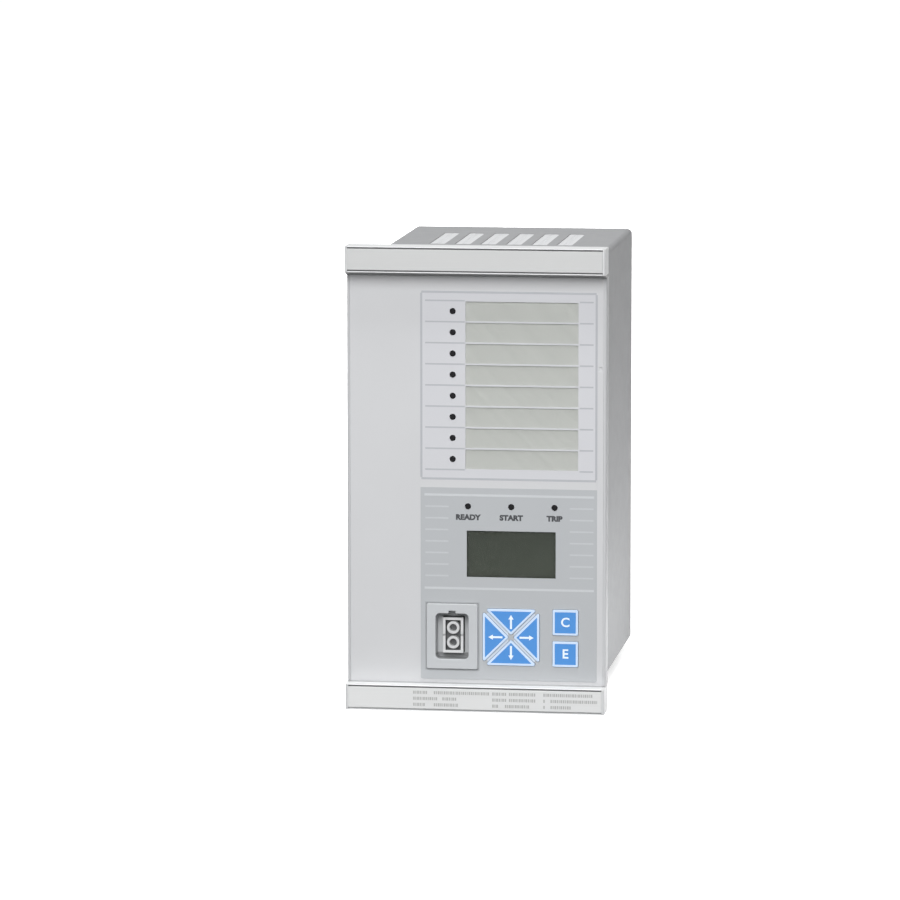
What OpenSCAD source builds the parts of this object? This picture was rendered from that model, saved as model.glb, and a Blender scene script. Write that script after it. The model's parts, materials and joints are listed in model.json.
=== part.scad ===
// Panel-mounted protection relay: a folded steel case behind a railed front
// with an operator panel, plug-in cards inside and terminals at the rear.
// Millimetres. x runs to the right, y from front to rear, z up.
// Depths are counted from the front of the rails, heights from the frame's foot.

/* [Front frame] */
// Width of the front frame
frame_w = 148.8; // [146:0.1:160]
// Height of the front frame
frame_h = 265.9; // [262:0.1:280]
// Thickness of the carrier plate behind the rails
plate_t = 2.5; // [2:0.1:4]
// How far the carrier plate stays inside the frame at top and bottom
plate_inset = 4.3; // [2:0.1:5]
// Margin from the case's inner sides to the window in the carrier plate
plate_window_side = 6.65; // [6:0.05:8]
// Margin from the rails to the window in the carrier plate
plate_window_margin = 4.6; // [3:0.1:6]

/* [Rails] */
// Depth of a rail from front to rear
rail_d = 16; // [15:0.1:20]
// Height of a rail's front face
rail_h = 14.8; // [14:0.1:17]
// How far the top rail's underside drops to the panel
top_lip = 2.4; // [0.5:0.1:4]
// How far the bottom rail's ledge rises to the panel
bottom_lip = 0.6; // [0.2:0.1:3]
// Wall of the rail extrusion
rail_wall = 2.4; // [2:0.1:2.8]
// Height of the flat strip in a rail's face
strip_h = 12; // [8:0.1:12.2]
// Thickness of the flat strip
strip_t = 1; // [0.6:0.1:1.4]
// Groove above and below the strip
groove_w = 0.8; // [0.3:0.1:0.9]
// Thickness of a rail's end cap
cap_t = 1.6; // [1:0.1:3]
// Round at the lower rear edge of the bottom rail
bottom_back_r = 5; // [1:0.5:6]
// Round at the upper rear edge of the top rail
top_back_r = 1; // [0.5:0.5:6]
// Distance between the two screws of a rail
rail_screw_pitch = 110; // [80:1:125]

/* [Panel] */
// How far the panel lies behind the rail fronts
panel_set = 9; // [8.5:0.1:10]
// Wall of the panel
panel_t = 2; // [1.5:0.1:2.5]
// How far the panel's edges reach into the rails
panel_tuck = 3; // [2:0.1:4]
// Thickness of the overlay foil
foil_t = 0.4; // [0.2:0.1:0.5]
// Space between the panel and the operator board
board_gap = 7; // [6.8:0.1:8]
// Thickness of the operator board
board_t = 1.6; // [1:0.1:2.4]

/* [Foil fields] */
// Margin from the frame's right side to the fields
field_side = 5.4; // [5:0.1:8]
// Width of the fields
field_w = 101; // [98:0.5:108]
// Margin from the bottom rail to the control field
field_foot = 2.1; // [1:0.1:4]
// Height of the control field
control_h = 110.4; // [109:0.1:112]
// Strip between the two fields
field_gap = 5.1; // [3:0.1:7]
// Margin from the legend field to the top rail
field_head = 8.4; // [5:0.1:12]

/* [Legends and lamps] */
// Number of legend rows
row_count = 8; // [4:1:8]
// Margin above and below the legend rows
row_margin = 5.37; // [3:0.01:9]
// Width of a legend window
window_w = 64.4; // [50:0.1:66]
// Sideways place of the windows from the fields' centre
window_x = 7.5; // [4:0.1:10]
// Bar between two legend windows
window_bar = 0.9; // [0.5:0.1:2]
// Thickness of the clear film over the legends
film_t = 0.3; // [0.2:0.05:0.4]
// Thickness of the legend sheet
sheet_paper_t = 0.25; // [0.1:0.05:0.4]
// Diameter of a lamp
lamp_d = 3.2; // [2.5:0.1:5]
// Distance from the windows to the lamp column
lamp_offset = 7.35; // [5:0.05:10]
// Height of the status lamps above the control field's foot
status_z = 99.9; // [96:0.1:104]
// Distance between two status lamps
status_pitch = 24.8; // [12:0.1:26]

/* [Display] */
// Sideways place of the display and arrow keys from the fields' centre
mid_x = 1.5; // [1:0.1:3]
// Visible width of the display
display_w = 51; // [40:0.5:56]
// Visible height of the display
display_h = 26.7; // [20:0.1:30]
// Height of the display's centre above the control field's foot
display_z = 72.6; // [70:0.1:75]
// Thickness of the clear display window
display_window_t = 1; // [0.8:0.1:1.2]

/* [Keys] */
// Height of the key row's centre above the control field's foot
key_row_z = 24.9; // [23:0.1:28]
// Width across the square of four arrow keys
pad_w = 32.6; // [30:0.1:34]
// Band between two arrow keys
pad_band = 1.8; // [1.6:0.1:4]
// Sideways place of the two square keys from the fields' centre
side_key_x = 32.65; // [32:0.05:33]
// Width of a square key
side_key_w = 14.7; // [12:0.1:15]
// Distance between the two square keys
side_key_pitch = 18.2; // [17.5:0.1:20]
// Corner radius of a key
key_r = 0.9; // [0.5:0.1:1.5]
// How far a key stands out of the foil
key_proud = 0.6; // [0.5:0.1:1]
// Travel of a key
key_travel = 0.5; // [0.2:0.1:0.6]
// Diameter of a key's stem
stem_d = 3; // [2:0.1:4]

/* [Optical port] */
// Sideways place of the port from the fields' centre
port_x = -32.3; // [-33:0.1:-31]
// Width of the port's bezel
port_w = 29.4; // [27:0.1:30]
// Height of the port's bezel
port_h = 37.6; // [35:0.1:40]
// How far the bezel stands out of the panel
port_proud = 2; // [1:0.1:3]
// Width of the port's recess
recess_w = 18.9; // [17:0.1:20]
// Height of the port's recess
recess_h = 26.4; // [25:0.1:28]
// Depth of the port's recess
recess_d = 9; // [8:0.1:9.2]
// Width of the receptacle
receptacle_w = 11.8; // [9.5:0.1:12]
// Height of the receptacle
receptacle_h = 20.4; // [20:0.1:23]
// Wall of the receptacle
receptacle_wall = 1.5; // [1:0.1:1.8]
// How far the receptacle lies behind the bezel's front
receptacle_set = 4.6; // [4:0.1:5.5]
// Gap beside a ferrule in the receptacle
ferrule_side = 0.75; // [0.5:0.05:1.2]
// Wall of a ferrule
ferrule_wall = 1.55; // [0.8:0.05:1.6]
// Distance between the two ferrules
ferrule_pitch = 8.5; // [7.5:0.05:10]

/* [Case] */
// How far the frame stands out beyond the case on each side
overhang_side = 8.45; // [8:0.05:10]
// How far the frame stands out beyond the case at top and bottom
overhang_end = 8.05; // [7:0.05:10]
// How far the case's centre lies below the frame's centre
case_drop = 1.2; // [0:0.1:1.5]
// Sheet of the case sleeve
sheet_t = 1.2; // [0.8:0.1:1.5]
// Outer bend radius of the sleeve
bend_r = 3; // [2:0.1:5]
// Sheet of the rear cover
cover_t = 1; // [0.8:0.1:1.5]
// Width of the sleeve's turned-in rear edge
rear_edge = 8; // [7:0.5:9]
// Margin of the front collar inside the frame
collar_inset = 0.6; // [0.4:0.1:2]
// Distance of the bracket holes behind the frame
bracket_y = 30; // [20:1:40]
// Distance between the bracket holes on one side
bracket_pitch = 145; // [100:1:180]
// Diameter of a bracket hole
bracket_d = 4.2; // [3:0.1:6]

/* [Vents] */
// Number of slots in the top and in the bottom
slot_count = 6; // [2:1:6]
// Distance between two slots
slot_pitch = 15; // [14.5:0.1:15.5]
// Width of a slot
slot_w = 9; // [4:0.1:9.4]
// Length of a slot
slot_len = 68; // [40:1:80]
// Distance from the slots to the sleeve's turned-in rear edge
slot_gap = 37; // [24:1:44]
// Thickness of a vent screen
screen_t = 0.8; // [0.5:0.1:1.2]
// Hole in a vent screen
screen_hole_d = 2.2; // [1.6:0.1:4.5]
// Distance between two holes in a vent screen
screen_hole_pitch = 5.5; // [5:0.1:10]

/* [Cards] */
// Thickness of a card
card_t = 1.6; // [1:0.1:2]
// Distance from the power card to the processor card
card_bay = 30; // [29:0.1:32]
// Margin from the case's turned-in edge to the processor card
processor_side = 9.85; // [8:0.05:12]
// Length of the link between operator board and backplane
link_len = 10.4; // [9:0.1:14]
// Floor of a card guide
guide_base = 2.4; // [2.2:0.1:4]
// Depth of a card guide
guide_h = 6; // [5:0.1:9]
// Width of a card guide
guide_w = 6; // [5:0.1:7]

/* [Rear terminals] */
// Depth from the rail fronts to the rear of the plugs
overall_d = 235; // [220:1:260]
// How far the plugs stand out behind the case
plug_out = 13; // [11:0.5:20]
// Margin from the case's turned-in edge to the measuring block
measuring_side = 0.85; // [0.5:0.05:2]
// Number of poles of the measuring terminal block
measuring_poles = 12; // [4:1:13]
// Distance between two measuring poles
measuring_pitch = 13.5; // [12:0.1:14]
// Width of the measuring terminal block
measuring_w = 24; // [22:0.5:27]
// How far the measuring block stands out of the cover
measuring_out = 10; // [6:0.5:12]
// Least margin from the plugs to the case's turned-in edge, which sets their number of poles
plug_margin = 11; // [4:0.5:40]
// Distance between two poles of a plug
plug_pitch = 5.08; // [4.8:0.01:7.6]
// Width of a plug
plug_w = 11.2; // [10:0.1:13]
// How far a plug's header stands out of the cover
header_out = 4; // [2:0.5:6]

/* [Clearances] */
// Clearance between pieces that sit in one another
fit = 0.2; // [0.1:0.05:0.3]
// Clearance round a screw in its thread
thread_gap = 0.05; // [0.03:0.01:0.1]
// Clearance round a key
key_gap = 0.25; // [0.2:0.05:0.4]

/* [Hidden] */
$fn = 48;

// Colours of the pieces that show, and plain ones for what is hidden
rail_silver = [0.84, 0.85, 0.84];
strip_silver = [0.86, 0.87, 0.86];
panel_grey = [0.81, 0.82, 0.84];
foil_grey = [0.74, 0.75, 0.77];
legend_grey = [0.73, 0.74, 0.70];
display_green = [0.29, 0.31, 0.27];
key_blue = [0.35, 0.61, 0.90];
lamp_dark = [0.12, 0.12, 0.13];
bezel_grey = [0.76, 0.77, 0.78];
case_grey = [0.68, 0.69, 0.70];
steel = [0.75, 0.76, 0.77];
board_green = [0.10, 0.36, 0.20];
black_plastic = [0.10, 0.10, 0.11];
terminal_grey = [0.24, 0.26, 0.27];
plug_green = [0.16, 0.42, 0.24];

// Front stack
panel_back = panel_set + panel_t;
foil_y = panel_set - foil_t;
seat_y = rail_d + plate_t;
board_y = panel_back + board_gap;
board_back = board_y + board_t;
panel_lo = rail_h + bottom_lip;
panel_hi = frame_h - rail_h - top_lip;
strip_v = (rail_h - strip_h) / 2;
rail_len = frame_w - 2 * cap_t;
rail_screw_v = rail_h / 2;
core_front = strip_t + rail_wall;
core_back = panel_set - rail_wall;
cap_spigot = 6;
m4_r = 2;
m4_head_r = 3.4;
m4_head_h = 1.4;
m3_r = 1.5;
m3_head_r = 2.75;
m3_head_h = 1.6;
screw_end = 1.5;
window_lo = panel_lo + plate_window_margin;
window_hi = panel_hi - plate_window_margin;

// Case
case_w = frame_w - 2 * overhang_side;
case_h = frame_h - 2 * overhang_end;
case_z = frame_h / 2 - case_drop;
case_rear = overall_d - plug_out;
cover_y = case_rear - cover_t;
edge_y = cover_y - sheet_t;
bracket_zs = [for (k = [-1, 1]) case_z + k * bracket_pitch / 2];
in_w = case_w - 2 * sheet_t;
in_h = case_h - 2 * sheet_t;
floor_z = case_z - in_h / 2;
roof_z = case_z + in_h / 2;
opening = [in_w - 2 * rear_edge, in_h - 2 * rear_edge];
slots_half = (slot_count - 1) / 2 * slot_pitch;
slot_front = edge_y - slot_gap - slot_len;
slot_r = 1.5;
screen_margin = 5;
land_set = 0.3;
land_h = sheet_t - land_set;
cover_screw_x = in_w / 2 - rear_edge / 2;
cover_screw_zs = [for (k = [-1, 0, 1]) case_z + k * (in_h / 2 - rear_edge / 2)];
collar_screw_x = (frame_w / 2 - panel_t - fit + case_w / 2) / 2;
collar_screw_zs = [0.18, 0.5, 0.82] * frame_h;

// Fields on the foil
field_x = frame_w / 2 - field_side - field_w / 2;
field_lo = panel_lo + field_foot;
legend_lo = field_lo + control_h + field_gap;
field_hi = panel_hi - field_head;
legend_h = field_hi - legend_lo;
foil_r = 1;
rows_h = legend_h - 2 * row_margin;
row_pitch = rows_h / row_count;
rows_lo = legend_lo + row_margin;
window_cx = field_x + window_x;
pocket_margin = 2;
pocket_d = film_t + sheet_paper_t + 0.05;
lamp_x = window_cx - window_w / 2 - lamp_offset;
mid_cx = field_x + mid_x;
status_cz = field_lo + status_z;
display_cz = field_lo + display_z;
display_edge = 1.9;
display_pane = [display_w, display_h] + 2 * [display_edge, display_edge];
display_rim = 4;
glass_t = 1.4;
glass_edge = 1;
lamp_rim = 0.4;
lamp_rim_t = 1;
lamp_proud = 0.3;
lamp_flat = 0.7;
notch_from_edge = 3.5;
notch_above_middle = 64;
notch_size = [1.6, 2.2];
notch_depth = 0.4;

// Keys
key_row_cz = field_lo + key_row_z;
pad_apex = pad_band / sqrt(2);
arrow_base = pad_w / 2;
side_sink = 0.002;
arrow_centres = [[0, pad_apex + key_r * sqrt(2)],
    [arrow_base - pad_apex - key_r * (1 + sqrt(2)), arrow_base - key_r],
    [-(arrow_base - pad_apex - key_r * (1 + sqrt(2))), arrow_base - key_r]];
side_half = side_key_w / 2 - key_r;
side_centres = [[-side_half, -side_half], [side_half, -side_half],
    [side_half, side_half], [-side_half, side_half]];
side_cx = field_x + side_key_x;
stem_share = 0.62;
stem_reach = pad_apex + (arrow_base - pad_apex) * stem_share;
key_places = concat(
    [for (turn = [0 : 90 : 270]) [mid_cx, key_row_cz, turn]],
    [for (side = [1, -1]) [side_cx, key_row_cz + side * side_key_pitch / 2, 0]]);
key_front = foil_y - key_proud;
key_flange = 0.7;
key_flange_y = panel_back + 0.1;
key_flange_t = 0.9;
switch_w = 6;
switch_h = 4;
switch_y = board_y - switch_h;
stem_entry = 0.4;
well_d = stem_d + 4 * fit;
well_depth = stem_entry + key_travel + 0.6;

// Optical port
port_cx = field_x + port_x;
bezel_front = panel_set - port_proud;
bezel_wall = 1.6;
bezel_floor = 1.4;
bezel_r = 1.2;
recess_r = 2.6;
recess_notch = [3.8, 3];
receptacle_y = bezel_front + receptacle_set;
receptacle_depth = 4.4;
ferrule_set = 0.4;
ferrule_d = receptacle_w - 2 * (receptacle_wall + ferrule_side);
ferrule_bore = ferrule_d - 2 * ferrule_wall;
split_w = 1.2;

// Operator board
board_edge = 0.5;
plate_window_w = in_w - 2 * plate_window_side;
board_w = plate_window_w - 2 * board_edge;
board_lo = window_lo + board_edge;
board_hi = window_hi - board_edge;
spacer_d = 4;
spacer_side = 6.5;
spacer_x = board_w / 2 - spacer_side;
spacer_inset = 2.4;
spacer_zs = [board_lo + spacer_inset, board_hi - spacer_inset];
spacer_places = [for (sx = [-1, 1], z = spacer_zs) [sx * spacer_x, z]];
board_screw_r = 1.2;
board_screw_head_r = 2.2;
board_screw_head_h = 1.5;

// Cards and backplane
backplane_y = board_back + link_len;
backplane_t = 2;
backplane_back = backplane_y + backplane_t;
backplane_edge = 1.2;
post_d = 5;
post_x = in_w / 2 - post_d / 2 - backplane_edge;
post_inset = 20;
post_z = in_h / 2 - post_inset;
connector_len = 9;
connector_w = 10;
connector_h = 96;
card_grip = 5;
card_front = backplane_back + connector_len - card_grip;
card_back_gap = 2;
card_rear = edge_y - card_back_gap;
card_lo = floor_z + guide_base + fit;
card_hi = roof_z - guide_base - fit;
transformer_card_x = -opening[0] / 2 + measuring_side + measuring_w + card_t / 2;
processor_card_x = opening[0] / 2 - processor_side - card_t / 2;
power_card_x = processor_card_x - card_bay;
card_xs = [transformer_card_x, power_card_x, processor_card_x];
bay_w = power_card_x - transformer_card_x - card_t;
guide_gap = [4, 2];
guide_front = backplane_back + connector_len + guide_gap[0];
guide_len = slot_front - screen_margin - guide_gap[1] - guide_front;

// Parts on the cards: sizes in x, y and z, and places in y and z
transformer_side = 6.85;
transformer_size = [transformer_card_x - card_t / 2 + in_w / 2 - transformer_side, 34, 40];
transformer_foot = [5, 3, 2];
transformer_pitch = 50;
transformer_rows = 4;
transformer_gap = 12;
relay_size = [15.5, 28, 12.8];
relay_count = 7;
relay_pitch = 24;
relay_gap = 10;
capacitor_r = 11;
capacitor_gap = 13.4;
capacitor_len = bay_w - capacitor_gap;
capacitor_pitch = [26, 28];
capacitor_start = [16, -20];
capacitor_place = [slot_front, case_z] + capacitor_start;
sink_base = 4;
sink_gap = [19.4, 3];
sink_h = 72;
sink_size = [bay_w - sink_gap[0], guide_len - sink_gap[1], sink_h];
sink_fins = 9;
sink_fin_t = 1.8;
sink_start = [2, 20];
sink_place = [guide_front, case_z] + sink_start;
wound_core_gap = 11.4;
wound_core_size = [bay_w - wound_core_gap, 40, 36];
wound_core_limb = 7;
wound_core_start = [10, 30];
wound_core_place = [slot_front, case_z] + wound_core_start;
coil_inset = 4;
chip_sizes = [[3, 30, 30], [2.4, 22, 16], [2.4, 22, 16], [2, 14, 14]];
chip_start = [40, 60];
chip_place = [guide_front, case_z] + chip_start;
chip_step = [8, -40];
link_size = [8, 56];

// Rear
measuring_end = 6;
measuring_h = measuring_poles * measuring_pitch + 2 * measuring_end;
measuring_cx = transformer_card_x - card_t / 2 - measuring_w / 2;
terminal_grip = 14;
measuring_front = card_rear - terminal_grip;
measuring_rear = case_rear + measuring_out;
measuring_zs = [for (i = [0 : measuring_poles - 1])
    case_z + (i - (measuring_poles - 1) / 2) * measuring_pitch];
measuring_screw_x = measuring_cx - measuring_w / 4;
measuring_screw_r = 3;
measuring_screw_h = 3;
measuring_screw_set = 1;
measuring_screw_y = measuring_rear - measuring_screw_h - measuring_screw_set;
wire_entry = 3.6;
wire_depth = 8;
header_wall = 1.4;
header_gap = 12;
plug_end = 1;
plug_room = (opening[1] - header_gap) / 2 - plug_margin - 2 * (header_wall + fit + plug_end);
plug_poles = floor(plug_room / plug_pitch);
plug_h = plug_poles * plug_pitch + 2 * plug_end;
header_w = plug_w + 2 * (header_wall + fit);
header_h = plug_h + 2 * (header_wall + fit);
header_cx = power_card_x + card_t / 2 + header_w / 2;
header_front = card_rear - terminal_grip;
header_rear = case_rear + header_out;
header_floor = 3;
header_zs = [for (k = [-1, 1]) case_z + k * (header_h + header_gap) / 2];
plug_front = header_front + header_floor;
plug_rear = overall_d;
plug_entry = 2.8;
plug_entry_depth = 5;
plug_screw_r = 1.5;
plug_screw_h = 2;
plug_screw_gap = 3.2;
plug_screw_y = header_rear + plug_screw_gap;
serial_flange = [12.5, 31];
serial_cx = processor_card_x - card_t / 2 - serial_flange[0] / 2;
serial_drop = 70;
serial_cz = case_z - serial_drop;
serial_grip = 10;
serial_shell = [8.4, 17];
serial_slant = 1.1;
serial_out = 6;
serial_pins = [5, 4];
serial_pin_pitch = 2.77;
serial_row_pitch = 2.84;
serial_pin_r = 0.55;
jack_pitch = 25;
jack_r = 2.6;
jack_bore_r = 1.2;
jack_len = 5;
earth_side = 7.5;
earth_rise = 75;
earth_place = [processor_card_x - earth_side, case_z + earth_rise];
earth_end = 5;
earth_r = 2.5;
earth_head_r = 4.7;
earth_head_h = 3.4;
earth_washer_r = 6;
earth_washer_t = 1.2;
slot_cut = 0.9;

// Puts the part's origin under the middle of its box
module placed() {
    translate([0, -overall_d / 2, 0]) children();
}

// Extrudes a drawing in y and z to the right
module along_x(x0, length) {
    translate([x0, 0, 0]) rotate([90, 0, 90]) linear_extrude(length) children();
}

// Extrudes a drawing in x and z to the rear
module along_y(y0, length) {
    translate([0, y0 + length, 0]) rotate([90, 0, 0]) linear_extrude(length) children();
}

// Box between two corners
module block(low, high) {
    translate(low) cube(high - low);
}

// Rectangle with round corners, about its centre
module round_rect(w, h, r) {
    square([w - 2 * r, h], center = true);
    square([w, h - 2 * r], center = true);
    for (sx = [-1, 1], sz = [-1, 1])
        translate([sx * (w / 2 - r), sz * (h / 2 - r)]) circle(r);
}

// Convex outline round equal circles at the given centres, in turn to the left;
// its straight sides lie a hair inside the circles, so that they cross them cleanly
module round_poly(centres, r) {
    count = len(centres);
    side = r - side_sink;
    polygon([for (i = [0 : count - 1])
        let (a = centres[i], b = centres[(i + 1) % count], d = b - a, out = [d[1], -d[0]] / norm(d))
        each [a + side * out, b + side * out]]);
    for (c = centres) translate(c) circle(r);
}

// Round rod to the rear at a place in x and z
module rod(place, r, y0, length) {
    along_y(y0, length) translate(place) circle(r);
}

// Pan-head screw that enters towards the front, its head behind the face at y
module rear_screw(place, r, head_r, head_h, face_y, length) {
    difference() {
        union() {
            rod(place, r, face_y - length, length);
            rod(place, head_r, face_y, head_h);
        }
        along_y(face_y + head_h / 2, head_h) translate(place) square([2 * head_r, slot_cut], center = true);
    }
}

// Section of a rail in depth and distance from the frame's edge
module rail_section(lip, back_r) {
    inner = rail_h + lip;
    rear_leg = panel_back + fit;
    difference() {
        union() {
            polygon([[0, 0], [rail_d - back_r, 0], [rail_d, back_r], [rail_d, inner],
                [rear_leg, inner], [rear_leg, inner - panel_tuck],
                [panel_set, inner - panel_tuck], [panel_set, inner], [0, rail_h]]);
            translate([rail_d - back_r, back_r]) circle(back_r);
        }
        translate([-1, strip_v - groove_w]) square([1 + strip_t, strip_h + 2 * groove_w]);
        translate([core_front, rail_wall]) square([core_back - core_front, rail_h - 2 * rail_wall]);
    }
}

// Outline of an end cap in depth and distance from the frame's edge
module cap_section(lip, back_r) {
    polygon([[0, 0], [rail_d - back_r, 0], [rail_d, back_r], [rail_d, rail_h + lip],
        [panel_set, rail_h + lip], [0, rail_h]]);
    translate([rail_d - back_r, back_r]) circle(back_r);
}

// Carries what is drawn for the bottom rail over to the top rail
module at_top() {
    translate([0, 0, frame_h]) mirror([0, 0, 1]) children();
}

module rail(lip, back_r) {
    difference() {
        along_x(-rail_len / 2, rail_len) rail_section(lip, back_r);
        for (side = [-1, 1]) {
            place = [side * rail_screw_pitch / 2, rail_screw_v];
            rod(place, m4_r + fit, -1, rail_d + 2);
            rod(place, m4_head_r + fit, -1, 1 + strip_t + m4_head_h + fit);
        }
    }
}

module rail_strip() {
    block([-rail_len / 2, 0, strip_v], [rail_len / 2, strip_t, strip_v + strip_h]);
}

module rail_caps(lip, back_r) {
    chamfer = cap_t * 0.6;
    for (side = [0, 1]) mirror([side, 0, 0]) {
        difference() {
            along_x(rail_len / 2, cap_t) cap_section(lip, back_r);
            translate([frame_w / 2, 0, rail_h / 2]) rotate([0, 0, 45])
                cube([sqrt(2) * chamfer, sqrt(2) * chamfer, 2 * frame_w], center = true);
        }
        block([rail_len / 2 - cap_spigot, core_front + fit, rail_wall + fit],
            [rail_len / 2, core_back - fit, rail_h - rail_wall - fit]);
    }
}

module rail_screw_pair() {
    head_y = strip_t + fit / 2;
    for (side = [-1, 1]) {
        place = [side * rail_screw_pitch / 2, rail_screw_v];
        difference() {
            union() {
                rod(place, m4_head_r, head_y, m4_head_h);
                rod(place, m4_r, head_y + m4_head_h, seat_y - fit - head_y - m4_head_h);
            }
            along_y(head_y - 1, 1 + m4_head_h / 2) translate(place)
                square([2 * m4_head_r, slot_cut], center = true);
        }
    }
}

// Outline of one key, numbered as in key_places, grown by a margin
module key_outline(index, grow) {
    place = key_places[index];
    translate([place[0], place[1]]) rotate(place[2])
        round_poly(index < 4 ? arrow_centres : side_centres, key_r + grow);
}

// Place of a key's stem: in the middle of a square key, out from the pad's centre in an arrow key
function stem_place(index) = let (place = key_places[index])
    index < 4 ? [place[0] - stem_reach * sin(place[2]), place[1] + stem_reach * cos(place[2])]
        : [place[0], place[1]];

// Places of the lamps
indicator_places = [for (i = [0 : row_count - 1]) [lamp_x, rows_lo + (i + 0.5) * row_pitch]];
status_places = [for (k = [-1, 0, 1]) [mid_cx + k * status_pitch, status_cz]];

// One key: cap through the foil and the panel, flange behind the panel, stem into its switch
module key(index) {
    stem_y = key_flange_y + key_flange_t;
    along_y(key_front, key_flange_y - key_front) key_outline(index, 0);
    along_y(key_flange_y, key_flange_t) key_outline(index, key_flange);
    rod(stem_place(index), stem_d / 2, stem_y, switch_y + stem_entry - stem_y);
}

// One lamp: domed lens, rim behind the panel and spacer down to the board
module lamp(place) {
    r = lamp_d / 2;
    lens_y = foil_y - lamp_proud;
    rim_y = panel_back + fit;
    rod(place, r, lens_y + lamp_proud, rim_y - lens_y - lamp_proud);
    translate([place[0], lens_y + lamp_proud, place[1]]) rotate([90, 0, 0])
        cylinder(h = lamp_proud, r1 = r, r2 = r * lamp_flat);
    rod(place, r + lamp_rim, rim_y, lamp_rim_t);
    rod(place, r, rim_y + lamp_rim_t, board_y - rim_y - lamp_rim_t);
}

// Outline of the pocket behind the legend windows, drawn in by a clearance
module legend_pocket(gap) {
    margin = pocket_margin - gap;
    translate([window_cx, rows_lo + rows_h / 2])
        square([window_w + 2 * margin, rows_h + 2 * margin], center = true);
}

module top_rail() color(rail_silver) placed() at_top() rail(top_lip, top_back_r);

module bottom_rail() color(rail_silver) placed() rail(bottom_lip, bottom_back_r);

module top_rail_strip() color(strip_silver) placed() at_top() rail_strip();

module bottom_rail_strip() color(strip_silver) placed() rail_strip();

module rail_end_caps() color(rail_silver) placed() {
    rail_caps(bottom_lip, bottom_back_r);
    at_top() rail_caps(top_lip, top_back_r);
}

module rail_screws() color(steel) placed() {
    rail_screw_pair();
    at_top() rail_screw_pair();
}

// Plate between the rails and the case: full width behind the rails, inside the panel's returns elsewhere
module carrier_plate() color(steel) placed() {
    side = frame_w / 2 - panel_t - fit;
    difference() {
        along_y(rail_d, plate_t) {
            translate([-side, plate_inset]) square([2 * side, frame_h - 2 * plate_inset]);
            for (span = [[plate_inset, panel_lo - fit], [panel_hi + fit, frame_h - plate_inset]])
                translate([-frame_w / 2 + collar_inset, span[0]])
                    square([frame_w - 2 * collar_inset, span[1] - span[0]]);
        }
        block([-plate_window_w / 2, rail_d - 1, window_lo], [plate_window_w / 2, seat_y + 1, window_hi]);
        for (sx = [-1, 1], z = [rail_screw_v, frame_h - rail_screw_v])
            rod([sx * rail_screw_pitch / 2, z], m4_r + thread_gap, rail_d - 1, plate_t + 2);
        for (sx = [-1, 1], z = collar_screw_zs) {
            rod([sx * collar_screw_x, z], m3_r + fit, rail_d - 1, plate_t + 2);
            rod([sx * collar_screw_x, z], m3_head_r + fit, rail_d - 1, 1 + m3_head_h);
        }
        for (sx = [-1, 1], sz = [-1, 1])
            rod([sx * post_x, case_z + sz * post_z], m3_r + thread_gap, rail_d - 1, plate_t + 2);
    }
}

// Screws that hold the carrier plate on the case's collar
module collar_screws() color(steel) placed()
    for (sx = [-1, 1], z = collar_screw_zs) {
        rod([sx * collar_screw_x, z], m3_head_r, rail_d + fit / 2, m3_head_h - fit / 2);
        rod([sx * collar_screw_x, z], m3_r, rail_d + m3_head_h, plate_t + sheet_t - m3_head_h);
    }

module front_panel() color(panel_grey) placed() {
    half = frame_w / 2;
    tongue = frame_w - 2 * (cap_t + fit);
    difference() {
        union() {
            translate([0, 0, panel_lo]) linear_extrude(panel_hi - panel_lo) {
                translate([-half + panel_t, panel_set]) square([frame_w - 2 * panel_t, panel_t]);
                for (side = [0, 1]) mirror([side, 0]) {
                    translate([half - panel_t, panel_back]) square([panel_t, seat_y - fit - panel_back]);
                    translate([half - panel_t, panel_back]) circle(panel_t);
                }
            }
            along_y(panel_set, panel_t) translate([-tongue / 2, panel_lo - panel_tuck + fit])
                square([tongue, panel_hi - panel_lo + 2 * (panel_tuck - fit)]);
        }
        for (side = [0, 1]) mirror([side, 0, 0])
            block([half - 2 * panel_t, panel_back, panel_lo - 1],
                [half - panel_t, panel_back + panel_t + 1, panel_hi + 1]);
        along_y(panel_set - 1, 1 + pocket_d) legend_pocket(0);
        along_y(panel_set - 1, panel_t + 2) {
            translate([mid_cx, display_cz]) square(display_pane + 2 * [fit, fit], center = true);
            translate([port_cx, key_row_cz])
                round_rect(recess_w + 2 * (bezel_wall + fit), recess_h + 2 * (bezel_wall + fit), recess_r);
            for (i = [0 : len(key_places) - 1]) key_outline(i, key_gap);
            for (p = concat(indicator_places, status_places)) translate(p) circle(lamp_d / 2 + fit);
        }
        along_y(panel_set - 1, 1 + notch_depth)
            translate([half - notch_from_edge, frame_h / 2 + notch_above_middle])
                square(notch_size, center = true);
    }
}

// Printed foil over the panel, open at the windows, keys, lamps and port
module overlay_foil() color(foil_grey) placed()
    along_y(foil_y, foil_t) difference() {
        translate([field_x, (field_lo + field_hi) / 2]) round_rect(field_w, field_hi - field_lo, foil_r);
        for (i = [0 : row_count - 1])
            translate([window_cx, rows_lo + (i + 0.5) * row_pitch])
                square([window_w, row_pitch - window_bar], center = true);
        translate([mid_cx, display_cz]) square([display_w, display_h], center = true);
        translate([port_cx, key_row_cz]) round_rect(port_w + 2 * fit, port_h + 2 * fit, bezel_r + fit);
        for (i = [0 : len(key_places) - 1]) key_outline(i, key_gap);
        for (p = concat(indicator_places, status_places)) translate(p) circle(lamp_d / 2 + fit);
    }

// Clear film behind the foil's windows
module legend_film() color([0.9, 0.92, 0.9, 0.4]) placed()
    along_y(panel_set, film_t) legend_pocket(fit);

// Plain sheet for the user's own legends, loose in its pocket
module legend_sheet() color(legend_grey) placed()
    along_y(panel_set + film_t, sheet_paper_t) legend_pocket(2 * fit);

module indicator_lamps() color(lamp_dark) placed()
    for (p = indicator_places) lamp(p);

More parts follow.
